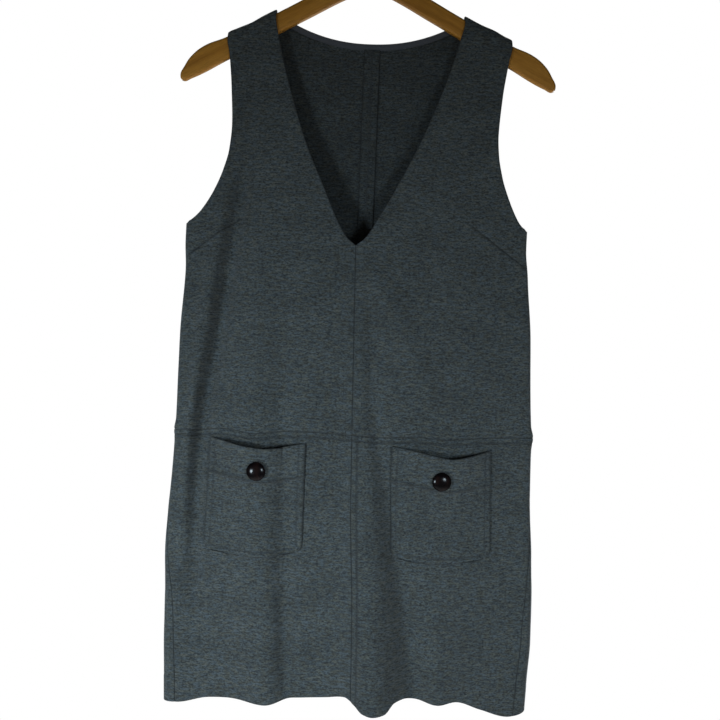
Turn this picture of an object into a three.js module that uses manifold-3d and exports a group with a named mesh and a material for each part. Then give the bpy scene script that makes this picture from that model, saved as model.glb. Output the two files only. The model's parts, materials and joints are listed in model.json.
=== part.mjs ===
// A sleeveless V-neck pinafore dress of heavy marled knit, on a flat wooden hanger.
// Millimetres. +X is the viewer's right, -Y the front and +Z up.
// The origin is the inside top of the hook, where the hanger hangs on its rail.
// Heights are given as "down", the distance below that point.
import * as THREE from 'three';
import { mergeVertices } from 'three/addons/utils/BufferGeometryUtils.js';
import Module from 'manifold-3d';

// Cloth and sewing
const CLOTH = 2.0;
const SEAM_GAP = 0.3;
const WAIST_DOWN = 626;
const UNDERARM_DOWN = 379;
const V_POINT_DOWN = 402;
const HEM_LEVEL = 945;
const SIDE_FLATNESS = 1.5;
const FOLD_FADE = 0.1;

// The shoulders, where the straps wrap over the arms of the hanger
const STRAP_OUT = 9.8;
const STRAP_RISE = 9.5;
const STRAP_REST_GAP = 0.8;
const STRAP_LOFT_LEFT = 2.2;
const STRAP_ROUNDNESS = 3;
const STRAP_TURNS = [90, 70, 48, 26, 0];
const STRAP_INNER = 113;
const STRAP_OUTER = 170.5;

// The back neckline, a shallow curve, and its tape
const BACK_NECK_DOWN = 156;
const BACK_NECK_RISE = 20;
const BACK_NECK_HALF = 90;
const BACK_NECK_POWER = 2.2;
const TAPE_WIDTH = 6.5;
const TAPE_THICK = 1.0;
const TAPE_HALF = 104;
const TAPE_BELOW = 0.4;
const TAPE_STEPS = 36;

// The hanger
const WOOD_THICK = 12;
const WOOD_ROUND = 3.5;
const WOOD_ROUND_STEPS = 3;
const WIRE = 4;
const HOOK_INSIDE = 19.5;
const HOOK_START = -58;
const HOOK_END = 205;
const HOOK_ARC_POINTS = 12;
const HOOK_STEPS = 38;
const HOOK_NECK = { x: 2.6, down: 46.5 };
const STEM_DOWN = [74, 62, 54];
const WIRE_SIDES = 8;
const STEM_DEPTH = 22;

// The pockets and their buttons
const POCKET_MOUTH_POWER = 1.4;
const POCKET_GAPE = 10;
const POCKET_GAPE_POWER = 1.2;
const POCKET_GAPE_REACH = 0.62;
const POCKET_SEAM_GAP = 0.5;
const POCKET_EASE = 0.8;
const POCKET_EASE_POWER = 0.5;
const POCKET_EASE_FADE = 8;
const POCKET_CORNER = 12;
const BUTTON_RADIUS = 11.3;
const BUTTON_SIDES = 20;

// Steps for measuring the slope of a surface, and the distance at which points are one
const SLOPE_STEP = 0.2;
const SLOPE_SHARE = 0.01;
const SAME_POINT = 1e-4;

// The middle line of the body, its half width out to the bend of the side, how deep the front
// and the back stand from the middle plane, and the radius of the bend at the side.
const BODY = [
  { down: 100, middle: 0, half: 206, front: 9.8, back: 9.8, bend: 9.8 },
  { down: 150, middle: -0.6, half: 206, front: 9.8, back: 9.8, bend: 9.8 },
  { down: 190, middle: -1.8, half: 206, front: 12, back: 11.5, bend: 9.4 },
  { down: 262, middle: -4.8, half: 206, front: 16, back: 15, bend: 8.6 },
  { down: 339, middle: -7.8, half: 205.5, front: 20, back: 18.5, bend: 7.6 },
  { down: 379, middle: -10.1, half: 205, front: 22, back: 20.5, bend: 7 },
  { down: 402, middle: -10.6, half: 205, front: 23, back: 21.5, bend: 7 },
  { down: 435, middle: -8.7, half: 205.9, front: 24.5, back: 22.5, bend: 7 },
  { down: 507, middle: -8.4, half: 210.8, front: 27, back: 25, bend: 7.5 },
  { down: 555, middle: -8.4, half: 211.9, front: 28.5, back: 26.5, bend: 8 },
  { down: 612, middle: -7.8, half: 213.6, front: 30, back: 28, bend: 8 },
  { down: 626, middle: -7.4, half: 216, front: 30.5, back: 28.5, bend: 8 },
  { down: 641, middle: -8, half: 214.6, front: 31, back: 29, bend: 8.2 },
  { down: 675, middle: -9, half: 215.4, front: 32, back: 29.5, bend: 8.6 },
  { down: 723, middle: -10.3, half: 217.6, front: 33, back: 31, bend: 9.2 },
  { down: 771, middle: -10.2, half: 220.1, front: 34.5, back: 32.5, bend: 10 },
  { down: 820, middle: -8.8, half: 220.3, front: 36, back: 34, bend: 10.6 },
  { down: 868, middle: -8.9, half: 220.2, front: 37.5, back: 35.5, bend: 11.2 },
  { down: 915, middle: -9.9, half: 218, front: 39, back: 37, bend: 11.8 },
  { down: 960, middle: -10.6, half: 216.2, front: 40, back: 38, bend: 12 },
];

// Half the width of the V neck and of the body between the armholes, about the middle line.
const V_NECK = [
  { down: 110, half: 116 },
  { down: 128, half: 113 },
  { down: 151, half: 109 },
  { down: 263, half: 74.4 },
  { down: 339, half: 40.3 },
  { down: 369, half: 25.4 },
  { down: 393, half: 10.8 },
  { down: 402, half: 0 },
];
const ARMHOLE = [
  { down: 110, left: 176, right: 178 },
  { down: 150, left: 169.6, right: 171.8 },
  { down: 185, left: 164.2, right: 166.4 },
  { down: 220, left: 160, right: 162.5 },
  { down: 265, left: 156.8, right: 160.6 },
  { down: 290, left: 158.4, right: 162.6 },
  { down: 314, left: 164.2, right: 167.8 },
  { down: 338, left: 173.6, right: 176.4 },
  { down: 363, left: 187.6, right: 189 },
  { down: 373, left: 196.6, right: 197 },
  { down: 379, left: 205, right: 205 },
];

// Where the centre seams run, and how far the side seams have swung round to the front.
const FRONT_SEAM = [
  { down: 402, x: -10.6 },
  { down: 546, x: -9.8 },
  { down: 624, x: -9.4 },
  { down: 712, x: -8.6 },
  { down: 825, x: -4.4 },
  { down: 940, x: -3 },
];
const BACK_SEAM = [
  { down: 156, x: 3 },
  { down: 262, x: 1.6 },
  { down: 368, x: 0 },
  { down: 500, x: -5 },
  { down: 626, x: -8 },
  { down: 950, x: -9 },
];
const SIDE_SEAM_SWING = [
  { down: 690, swing: 0 },
  { down: 785, swing: 11 },
  { down: 846, swing: 18 },
  { down: 891, swing: 20 },
  { down: 960, swing: 22 },
];

// The hem, by the distance round from the middle of the front: minus to the left, plus to the right.
const HEM = [
  { around: -455, down: 946 },
  { around: -415, down: 945 },
  { around: -360, down: 951 },
  { around: -300, down: 945 },
  { around: -222, down: 951 },
  { around: -201, down: 951 },
  { around: -161, down: 942.5 },
  { around: -133, down: 941 },
  { around: -94, down: 943.5 },
  { around: -60, down: 936 },
  { around: -4, down: 934.5 },
  { around: 8, down: 937 },
  { around: 32, down: 947.5 },
  { around: 64, down: 938 },
  { around: 82, down: 935.5 },
  { around: 110, down: 941.5 },
  { around: 130, down: 939 },
  { around: 161, down: 949 },
  { around: 196, down: 958.5 },
  { around: 222, down: 953 },
  { around: 300, down: 947 },
  { around: 350, down: 952 },
  { around: 405, down: 945 },
  { around: 455, down: 946 },
];

// The largest folds: how far each stands out (a trough is minus) and its half width, down its line.
const FRONT_FOLDS = [
  [
    { down: 470, x: 0, out: 0, spread: 18 },
    { down: 600, x: 6, out: 3, spread: 20 },
    { down: 766, x: 14, out: 13, spread: 26 },
    { down: 876, x: 18, out: 22, spread: 30 },
    { down: 950, x: 22, out: 30, spread: 32 },
  ],
  [
    { down: 480, x: 6, out: 0, spread: 10 },
    { down: 573, x: 12, out: -2, spread: 14 },
    { down: 711, x: 24, out: -4, spread: 16 },
    { down: 766, x: 33, out: -5, spread: 17 },
    { down: 821, x: 48, out: -7, spread: 18 },
    { down: 940, x: 72, out: -9, spread: 19 },
  ],
  [
    { down: 740, x: 84, out: 0, spread: 14 },
    { down: 850, x: 92, out: 6, spread: 17 },
    { down: 940, x: 99, out: 13, spread: 18 },
  ],
  [
    { down: 520, x: -134, out: 0, spread: 20 },
    { down: 620, x: -126, out: 4, spread: 24 },
    { down: 770, x: -116, out: 8, spread: 28 },
    { down: 940, x: -105, out: 15, spread: 28 },
  ],
  [
    { down: 300, x: -162, out: 0, spread: 14 },
    { down: 440, x: -174, out: -3.5, spread: 14 },
    { down: 607, x: -192, out: -3.5, spread: 13 },
    { down: 717, x: -194, out: -3, spread: 13 },
    { down: 850, x: -192, out: 0, spread: 13 },
  ],
  [
    { down: 402, x: -16, out: 0, spread: 14 },
    { down: 450, x: 8, out: 3, spread: 16 },
    { down: 545, x: 52, out: 3.5, spread: 18 },
    { down: 610, x: 80, out: 0, spread: 18 },
  ],
];
const BACK_FOLDS = [
  [
    { down: 430, x: -58, out: 0, spread: 22 },
    { down: 640, x: -70, out: 5, spread: 26 },
    { down: 940, x: -92, out: 20, spread: 32 },
  ],
  [
    { down: 520, x: -20, out: 0, spread: 18 },
    { down: 740, x: -28, out: -5, spread: 20 },
    { down: 940, x: -36, out: -8, spread: 22 },
  ],
  [
    { down: 400, x: 96, out: 0, spread: 20 },
    { down: 640, x: 88, out: 5, spread: 24 },
    { down: 940, x: 76, out: 17, spread: 30 },
  ],
];

// The rows of points down the bodice, from the inner edge to the outer edge of each piece.
const BELOW_UNDERARM = [
  { inner: 426, outer: 406 },
  { inner: 458, outer: 442 },
  { inner: 492, outer: 482 },
  { inner: 526, outer: 521 },
  { inner: 560, outer: 558 },
  { inner: 594, outer: 593 },
];
const FRONT_ROWS = [
  { inner: 152, outer: 176 },
  { inner: 182, outer: 199 },
  { inner: 212, outer: 224 },
  { inner: 242, outer: 249 },
  { inner: 272, outer: 274 },
  { inner: 300, outer: 298 },
  { inner: 326, outer: 319 },
  { inner: 350, outer: 338 },
  { inner: 371, outer: 353 },
  { inner: 386, outer: 364 },
  { inner: 395, outer: 373 },
  { inner: V_POINT_DOWN, outer: UNDERARM_DOWN },
];
const NECK_ROWS = [
  { neck: 102, outer: 177 },
  { neck: 84, outer: 192 },
  { neck: 62, outer: 207 },
  { neck: 36, outer: 224 },
  { neck: 0, outer: 243 },
];
const BACK_ROWS = [
  { inner: 200, outer: 267 },
  { inner: 244, outer: 292 },
  { inner: 286, outer: 316 },
  { inner: 326, outer: 338 },
  { inner: 360, outer: 355 },
  { inner: 386, outer: 369 },
  { inner: V_POINT_DOWN, outer: UNDERARM_DOWN },
];
const SKIRT_ROWS = 12;

// The arms of the hanger, by their upper and lower edge, and their rounded end.
const WOOD_TOP = [
  { x: 0, down: 62.5 },
  { x: 14, down: 66.5 },
  { x: 40, down: 83.5 },
  { x: 76, down: 104.3 },
  { x: 111.4, down: 124 },
  { x: 172.5, down: 155.3 },
  { x: 200, down: 169.5 },
];
const WOOD_END = [
  { x: 213, down: 179.5 },
  { x: 219.5, down: 189 },
  { x: 223.5, down: 200 },
  { x: 220.5, down: 206.5 },
  { x: 211, down: 203.4 },
];
const WOOD_BOTTOM = [
  { x: 168, down: 180.5 },
  { x: 108.7, down: 148 },
  { x: 72, down: 127.6 },
  { x: 26, down: 102.6 },
  { x: 0, down: 91.5 },
];
const WOOD_POINTS = 64;

// Each pocket by its corners, its sagging mouth and its button.
const POCKETS = [
  {
    name: 'left',
    topLeft: { x: -177.5, down: 634 },
    topRight: { x: -63, down: 637.5 },
    lowLeft: -183,
    lowRight: -64,
    bottom: 769,
    sag: 9.5,
    button: { x: -122, down: 672.5 },
  },
  {
    name: 'right',
    topLeft: { x: 38, down: 638.5 },
    topRight: { x: 156, down: 641.5 },
    lowLeft: 38.2,
    lowRight: 158.5,
    bottom: 773.5,
    sag: 13,
    button: { x: 98, down: 679.5 },
  },
];
const POCKET_COLUMNS = 14;
const POCKET_ROWS = [0, 0.06, 0.14, 0.24, 0.36, 0.5, 0.66, 0.8];
const CORNER_STEPS = [1, 0.62, 0.32, 0.1, 0];

// The section of a button, from the foot of its shank to the top of its dome.
const BUTTON_SECTION = [
  { r: 0, h: 0 },
  { r: 2.4, h: 0 },
  { r: 2.4, h: 1.6 },
  { r: 9.6, h: 1.6 },
  { r: 11.1, h: 2.4 },
  { r: BUTTON_RADIUS, h: 3.4 },
  { r: 10.5, h: 4.8 },
  { r: 8.2, h: 6.1 },
  { r: 4.4, h: 7 },
  { r: 0, h: 7.3 },
];

const wasm = await Module();
wasm.setup();

const toRadians = THREE.MathUtils.degToRad;
const mix = THREE.MathUtils.lerp;
const clamp = THREE.MathUtils.clamp;

// A smooth curve through the rows of a table that never swings past them.
function follow(rows, along, across) {
  const at = rows.map((row) => row[along]);
  const value = rows.map((row) => row[across]);
  const last = at.length - 1;
  const rate = at.slice(1).map((next, i) => (value[i + 1] - value[i]) / (next - at[i]));
  const slope = at.map((_, i) => {
    const before = rate[Math.max(i - 1, 0)];
    const after = rate[Math.min(i, last - 1)];
    return before * after > 0 ? (2 * before * after) / (before + after) : 0;
  });
  return (place) => {
    const p = clamp(place, at[0], at[last]);
    const found = at.findIndex((end, i) => i > 0 && p <= end);
    const i = found - 1;
    const length = at[found] - at[i];
    const t = (p - at[i]) / length;
    const rise = value[found] - value[i];
    const start = slope[i] * length;
    const end = slope[found] * length;
    return value[i] + t * (start + t * (3 * rise - 2 * start - end + t * (start + end - 2 * rise)));
  };
}

const middleAt = follow(BODY, 'down', 'middle');
const halfAt = follow(BODY, 'down', 'half');
const frontAt = follow(BODY, 'down', 'front');
const backAt = follow(BODY, 'down', 'back');
const bendAt = follow(BODY, 'down', 'bend');
const vNeckAt = follow(V_NECK, 'down', 'half');
const armholeLeftAt = follow(ARMHOLE, 'down', 'left');
const armholeRightAt = follow(ARMHOLE, 'down', 'right');
const frontSeamAt = follow(FRONT_SEAM, 'down', 'x');
const backSeamAt = follow(BACK_SEAM, 'down', 'x');
const swingAt = follow(SIDE_SEAM_SWING, 'down', 'swing');
const hemAt = follow(HEM, 'around', 'down');
const woodTopAt = follow(WOOD_TOP, 'x', 'down');

function foldLines(folds) {
  return folds.map((rows) => ({
    x: follow(rows, 'down', 'x'),
    out: follow(rows, 'down', 'out'),
    spread: follow(rows, 'down', 'spread'),
  }));
}
const frontFolds = foldLines(FRONT_FOLDS);
const backFolds = foldLines(BACK_FOLDS);

function foldsOut(folds, x, down) {
  return folds.reduce((sum, fold) => {
    const off = (x - fold.x(down)) / fold.spread(down);
    return sum + fold.out(down) * Math.exp(-off * off);
  }, 0);
}

// The flat part of a half section, and the whole way round from the middle front to the middle back.
function sectionAt(down) {
  const bend = bendAt(down);
  const flat = halfAt(down) - bend;
  return { bend, flat, side: flat + (bend * Math.PI) / 2, whole: 2 * flat + bend * Math.PI };
}

// How far the cloth stands from the middle plane: thin at the sides, full in the middle, with folds.
function standOut(x, across, down, deep, folds) {
  const { bend, flat } = sectionAt(down);
  const share = Math.min(Math.abs(across) / flat, 1);
  const fullness = (1 - share * share) ** SIDE_FLATNESS;
  const fade = THREE.MathUtils.smoothstep(1 - share, 0, FOLD_FADE);
  return bend + (deep - bend) * fullness + foldsOut(folds, x, down) * fade;
}

// A point on the outside of the cloth, a distance round from the middle of the front to one side.
function bodyPoint(side, around, down) {
  const middle = middleAt(down);
  const { bend, flat, whole } = sectionAt(down);
  if (around <= flat) {
    const x = middle + side * around;
    return new THREE.Vector3(x, -standOut(x, around, down, frontAt(down), frontFolds), -down);
  }
  if (around < whole - flat) {
    const turn = (around - flat) / bend;
    const x = middle + side * (flat + bend * Math.sin(turn));
    return new THREE.Vector3(x, -bend * Math.cos(turn), -down);
  }
  const across = whole - around;
  const x = middle + side * across;
  return new THREE.Vector3(x, standOut(x, across, down, backAt(down), backFolds), -down);
}

// The height of the foot of a strap's wrap, level with the round of the hanger's arm.
function strapFoot(side, x) {
  const loft = side < 0 ? STRAP_LOFT_LEFT : 0;
  return woodTopAt(x) - STRAP_REST_GAP - loft - CLOTH + STRAP_RISE;
}

// A point on the outside of a strap as it turns over the arm: 0 at the foot and 90 at the top.
function strapPoint(side, face, x, turn) {
  const angle = toRadians(turn);
  const power = 2 / STRAP_ROUNDNESS;
  const out = STRAP_OUT * Math.sign(Math.cos(angle)) * Math.abs(Math.cos(angle)) ** power;
  const up = STRAP_RISE * Math.sin(angle) ** power;
  return new THREE.Vector3(side * x, face * Math.max(out, SEAM_GAP / 2), up - strapFoot(side, x));
}

// The outward normal of a surface given as a function of two values.
function normalAt(surface, u, v, step) {
  const across = surface(u + step, v).sub(surface(u - step, v));
  const along = surface(u, v + step).sub(surface(u, v - step));
  return across.cross(along).normalize();
}

function bodySpot(side, around, down) {
  const surface = (u, v) => bodyPoint(side, u, v);
  const normal = normalAt(surface, around, down, SLOPE_STEP).multiplyScalar(-side);
  return { point: bodyPoint(side, around, down), normal };
}

function strapSpot(side, face, x, turn) {
  const point = strapPoint(side, face, x, turn);
  const angle = toRadians(turn);
  const slope = (woodTopAt(x + 1) - woodTopAt(x - 1)) / 2;
  const normal = new THREE.Vector3(
    side * slope * Math.sin(angle),
    face * Math.cos(angle),
    Math.sin(angle),
  );
  return { point, normal: normal.normalize() };
}

function movedOut(spot, distance) {
  return spot.point.clone().addScaledVector(spot.normal, distance);
}

// A closed wall between two grids of points.
function wallBetween(outer, inner) {
  const rows = outer.length;
  const columns = outer[0].length;
  const points = [...outer.flat(), ...inner.flat()];
  const index = [];
  const at = (layer, row, column) => layer * rows * columns + row * columns + column;
  const quad = (a, b, c, d) => index.push(a, b, c, a, c, d);
  for (let r = 0; r < rows - 1; r += 1) {
    for (let c = 0; c < columns - 1; c += 1) {
      quad(at(0, r, c), at(0, r + 1, c), at(0, r + 1, c + 1), at(0, r, c + 1));
      quad(at(1, r, c), at(1, r, c + 1), at(1, r + 1, c + 1), at(1, r + 1, c));
    }
  }
  const border = [];
  for (let c = 0; c < columns - 1; c += 1) border.push([0, c]);
  for (let r = 0; r < rows - 1; r += 1) border.push([r, columns - 1]);
  for (let c = columns - 1; c > 0; c -= 1) border.push([rows - 1, c]);
  for (let r = rows - 1; r > 0; r -= 1) border.push([r, 0]);
  border.forEach(([r, c], i) => {
    const [nextR, nextC] = border[(i + 1) % border.length];
    quad(at(0, r, c), at(0, nextR, nextC), at(1, nextR, nextC), at(1, r, c));
  });
  const geometry = new THREE.BufferGeometry();
  geometry.setAttribute(
    'position',
    new THREE.Float32BufferAttribute(points.flatMap((p) => p.toArray()), 3),
  );
  geometry.setIndex(index);
  return facingOut(geometry);
}

function signedVolume(geometry) {
  const position = geometry.getAttribute('position');
  const index = geometry.getIndex().array;
  const [a, b, c] = [new THREE.Vector3(), new THREE.Vector3(), new THREE.Vector3()];
  let volume = 0;
  for (let i = 0; i < index.length; i += 3) {
    a.fromBufferAttribute(position, index[i]);
    b.fromBufferAttribute(position, index[i + 1]);
    c.fromBufferAttribute(position, index[i + 2]);
    volume += a.dot(b.cross(c));
  }
  return volume;
}

// A mirrored grid runs the other way round, so its triangles are turned over.
function facingOut(geometry) {
  const index = geometry.getIndex().array;
  if (signedVolume(geometry) < 0) {
    for (let i = 0; i < index.length; i += 3) {
      [index[i + 1], index[i + 2]] = [index[i + 2], index[i + 1]];
    }
  }
  geometry.computeVertexNormals();
  return geometry;
}

function clothWall(spots) {
  const outer = spots.map((row) => row.map((spot) => spot.point));
  const inner = spots.map((row) => row.map((spot) => movedOut(spot, -CLOTH)));
  return wallBetween(outer, inner);
}

// Shares of the way across a piece from its inner edge, closer together where the side bends.
function columnShares({ flat, bend, bendShare }) {
  const wide = Array.from({ length: flat }, (_, i) => (i / flat) * (1 - bendShare));
  const close = Array.from({ length: bend + 1 }, (_, i) => 1 - bendShare + (i / bend) * bendShare);
  return [...wide, ...close];
}
const BODICE_COLUMNS = columnShares({ flat: 12, bend: 3, bendShare: 0.055 });
const FRONT_SKIRT_COLUMNS = columnShares({ flat: 17, bend: 3, bendShare: 0.055 });
const BACK_COLUMNS = columnShares({ flat: 9, bend: 5, bendShare: 0.13 });

// The way round to the armhole's edge, which runs into the side seam at the underarm.
function armholeAround(side, face, down) {
  const { bend, flat, whole } = sectionAt(down);
  const half = side < 0 ? armholeLeftAt(down) : armholeRightAt(down);
  const past = clamp((half - flat) / bend, 0, 1);
  const around = Math.min(half, flat) + bend * Math.asin(past);
  return face < 0 ? around : whole - around;
}

function sideSeamAround(face, down) {
  const around = sectionAt(down).side - swingAt(down);
  return around + (face * SEAM_GAP) / 2;
}

function outerEdge(side, face, down) {
  if (down < UNDERARM_DOWN) return armholeAround(side, face, down);
  return sideSeamAround(face, down);
}

function frontInnerEdge(side, down) {
  if (down < V_POINT_DOWN) return vNeckAt(down) + SEAM_GAP / 2;
  return side * (frontSeamAt(down) - middleAt(down)) + SEAM_GAP / 2;
}

function backInnerEdge(side, down) {
  const across = side * (backSeamAt(down) - middleAt(down)) + SEAM_GAP / 2;
  return sectionAt(down).whole - across;
}

function innerEdge(side, face, down) {
  return face < 0 ? frontInnerEdge(side, down) : backInnerEdge(side, down);
}

function backNeckDown(half) {
  return BACK_NECK_DOWN - BACK_NECK_RISE * (half / BACK_NECK_HALF) ** BACK_NECK_POWER;
}

// The edge where a back piece meets the neckline, that far from the centre seam.
function backNeckEdge(side, neck) {
  const down = backNeckDown(neck);
  return { around: innerEdge(side, 1, down) - neck, down };
}

function strapRows(side, face, shares) {
  return STRAP_TURNS.map((turn) =>
    shares.map((share) => strapSpot(side, face, mix(STRAP_INNER, STRAP_OUTER, share), turn)),
  );
}

function rowAcross(side, inner, outer, shares) {
  return shares.map((share) =>
    bodySpot(side, mix(inner.around, outer.around, share), mix(inner.down, outer.down, share)),
  );
}

function bodiceRow(side, face, row, shares) {
  const inner = { around: innerEdge(side, face, row.inner), down: row.inner };
  const outer = { around: outerEdge(side, face, row.outer), down: row.outer };
  return rowAcross(side, inner, outer, shares);
}

function bodice(side, face) {
  const shares = face < 0 ? BODICE_COLUMNS : BACK_COLUMNS;
  const waist = WAIST_DOWN - SEAM_GAP / 2;
  const neck = NECK_ROWS.map((row) =>
    rowAcross(
      side,
      backNeckEdge(side, row.neck),
      { around: outerEdge(side, face, row.outer), down: row.outer },
      shares,
    ),
  );
  const body = [
    ...(face < 0 ? FRONT_ROWS : BACK_ROWS),
    ...BELOW_UNDERARM,
    { inner: waist, outer: waist },
  ].map((row) => bodiceRow(side, face, row, shares));
  return clothWall([
    ...strapRows(side, face, shares),
    ...(face < 0 ? [] : neck),
    ...body,
  ]);
}

// A skirt piece from the waist seam to its own stretch of the hem.
function skirt(side, face) {
  const shares = face < 0 ? FRONT_SKIRT_COLUMNS : BACK_COLUMNS;
  const waist = WAIST_DOWN + SEAM_GAP / 2;
  const across = (share, down) =>
    mix(innerEdge(side, face, down), outerEdge(side, face, down), share);
  const rows = Array.from({ length: SKIRT_ROWS + 1 }, (_, r) =>
    shares.map((share) => {
      const hem = hemAt(side * across(share, HEM_LEVEL));
      const down = mix(waist, hem, r / SKIRT_ROWS);
      return bodySpot(side, across(share, down), down);
    }),
  );
  return clothWall(rows);
}

// The outside of the front skirt, by X and height, for what is sewn on it.
function frontSpot(x, down) {
  return bodySpot(1, x - middleAt(down), down);
}

function pocketMouth(pocket, share) {
  const straight = mix(pocket.topLeft.down, pocket.topRight.down, share);
  return straight + pocket.sag * Math.sin(Math.PI * share) ** POCKET_MOUTH_POWER;
}

function pocketSpot(pocket, share, fall) {
  const down = mix(pocketMouth(pocket, share), pocket.bottom, fall);
  const left = mix(pocket.topLeft.x, pocket.lowLeft, fall);
  const right = mix(pocket.topRight.x, pocket.lowRight, fall);
  const above = pocket.bottom - down;
  const short = Math.max(POCKET_CORNER - above, 0);
  const inset = POCKET_CORNER - Math.sqrt(POCKET_CORNER ** 2 - short ** 2);
  const spot = frontSpot(mix(left + inset, right - inset, share), down);
  const open = Math.max(1 - fall / POCKET_GAPE_REACH, 0);
  const arch = Math.sin(Math.PI * share);
  const gape = POCKET_GAPE * open * open * arch ** POCKET_GAPE_POWER;
  const ease = POCKET_EASE * arch ** POCKET_EASE_POWER * (1 - fall ** POCKET_EASE_FADE);
  return { ...spot, point: movedOut(spot, POCKET_SEAM_GAP + gape + ease) };
}

function pocketFalls(pocket) {
  const tall = pocket.bottom - pocket.topLeft.down;
  return [...POCKET_ROWS, ...CORNER_STEPS.map((step) => 1 - (step * POCKET_CORNER) / tall)];
}

function pocketWall(pocket) {
  const rows = pocketFalls(pocket).map((fall) =>
    Array.from({ length: POCKET_COLUMNS + 1 }, (_, c) =>
      pocketSpot(pocket, c / POCKET_COLUMNS, fall),
    ),
  );
  const inner = rows.map((row) => row.map((spot) => spot.point));
  const outer = rows.map((row) => row.map((spot) => movedOut(spot, CLOTH)));
  return wallBetween(outer, inner);
}

// The tape lies on the inside of the back, along its neckline.
function neckTape() {
  const across = Array.from({ length: TAPE_STEPS + 1 }, (_, i) => {
    const x = mix(-TAPE_HALF, TAPE_HALF, i / TAPE_STEPS);
    const side = Math.sign(x) || 1;
    return { side, neck: Math.abs(x) };
  });
  const rows = [TAPE_BELOW, TAPE_BELOW + TAPE_WIDTH].map((below) =>
    across.map(({ side, neck }) => {
      const edge = backNeckEdge(side, neck);
      const whole = sectionAt(edge.down + below).whole;
      const shift = whole - sectionAt(edge.down).whole;
      return bodySpot(side, edge.around + shift, edge.down + below);
    }),
  );
  const toBack = rows.map((row) => row.map((spot) => movedOut(spot, -CLOTH - SEAM_GAP)));
  const toFront = rows.map((row) =>
    row.map((spot) => movedOut(spot, -CLOTH - SEAM_GAP - TAPE_THICK)),
  );
  return wallBetween(toBack, toFront);
}

// The outside of a pocket under its button, found by the button's place on the pocket.
function buttonSeat(pocket) {
  const { x, down } = pocket.button;
  const share = (x - pocket.topLeft.x) / (pocket.topRight.x - pocket.topLeft.x);
  const top = pocketMouth(pocket, share);
  const surface = (u, v) => pocketSpot(pocket, u, v).point;
  const fall = (down - top) / (pocket.bottom - top);
  const normal = normalAt(surface, share, fall, SLOPE_SHARE).negate();
  const seat = { point: surface(share, fall), normal };
  return { ...seat, point: movedOut(seat, CLOTH + SEAM_GAP) };
}

function button() {
  const section = BUTTON_SECTION.map(({ r, h }) => new THREE.Vector2(r, h));
  return new THREE.LatheGeometry(section, BUTTON_SIDES).rotateX(Math.PI);
}

function asSolid(geometry) {
  const bare = geometry.clone();
  bare.deleteAttribute('normal');
  bare.deleteAttribute('uv');
  const merged = mergeVertices(bare, SAME_POINT);
  return new wasm.Manifold(
    new wasm.Mesh({
      numProp: 3,
      vertProperties: new Float32Array(merged.getAttribute('position').array),
      triVerts: new Uint32Array(merged.getIndex().array),
    }),
  );
}

function asGeometry(solid) {
  const mesh = solid.getMesh();
  const geometry = new THREE.BufferGeometry();
  geometry.setAttribute('position', new THREE.BufferAttribute(mesh.vertProperties, 3));
  geometry.setIndex(new THREE.BufferAttribute(mesh.triVerts, 1));
  geometry.computeVertexNormals();
  return geometry;
}

// The arms: one flat board with rounded edges, drilled on top for the hook's stem.
function hangerWood() {
  const half = [...WOOD_TOP, ...WOOD_END, ...WOOD_BOTTOM];
  const mirrored = half
    .slice(1, -1)
    .reverse()
    .map(({ x, down }) => ({ x: -x, down }));
  const loop = [...half, ...mirrored].map(({ x, down }) => new THREE.Vector3(x, -down, 0));
  const outline = new THREE.CatmullRomCurve3(loop, true, 'centripetal');
  const points = outline.getSpacedPoints(WOOD_POINTS).slice(0, -1);
  const board = new THREE.ExtrudeGeometry(
    new THREE.Shape(points.map((p) => new THREE.Vector2(p.x, p.y))),
    {
      depth: WOOD_THICK - 2 * WOOD_ROUND,
      bevelThickness: WOOD_ROUND,
      bevelSize: WOOD_ROUND,
      bevelOffset: -WOOD_ROUND,
      bevelSegments: WOOD_ROUND_STEPS,
    },
  );
  board.translate(0, 0, WOOD_ROUND - WOOD_THICK / 2).rotateX(Math.PI / 2);
  const top = WOOD_TOP[0].down;
  const drill = new THREE.CylinderGeometry(
    WIRE / 2 + SEAM_GAP,
    WIRE / 2 + SEAM_GAP,
    2 * STEM_DEPTH,
    WIRE_SIDES,
  );
  drill.rotateX(Math.PI / 2).translate(0, 0, -top);
  return asGeometry(asSolid(board).subtract(asSolid(drill)));
}

// The hook: a straight stem out of the wood, then a round open to the left.
function hangerHook() {
  const radius = HOOK_INSIDE + WIRE / 2;
  const foot = WOOD_TOP[0].down + STEM_DEPTH - SEAM_GAP;
  const stem = [foot, ...STEM_DOWN].map((down) => new THREE.Vector3(0, 0, -down));
  const round = Array.from({ length: HOOK_ARC_POINTS + 1 }, (_, i) => {
    const angle = toRadians(mix(HOOK_START, HOOK_END, i / HOOK_ARC_POINTS));
    return new THREE.Vector3(
      radius * Math.cos(angle),
      0,
      radius * Math.sin(angle) - HOOK_INSIDE,
    );
  });
  const neck = new THREE.Vector3(HOOK_NECK.x, 0, -HOOK_NECK.down);
  const path = new THREE.CatmullRomCurve3([...stem, neck, ...round], false, 'centripetal');
  const ring = Array.from({ length: WIRE_SIDES }, (_, i) => {
    const angle = (2 * Math.PI * i) / WIRE_SIDES;
    return new THREE.Vector2((WIRE / 2) * Math.cos(angle), (WIRE / 2) * Math.sin(angle));
  });
  return new THREE.ExtrudeGeometry(new THREE.Shape(ring), {
    steps: HOOK_STEPS,
    extrudePath: path,
    bevelEnabled: false,
  });
}

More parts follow.
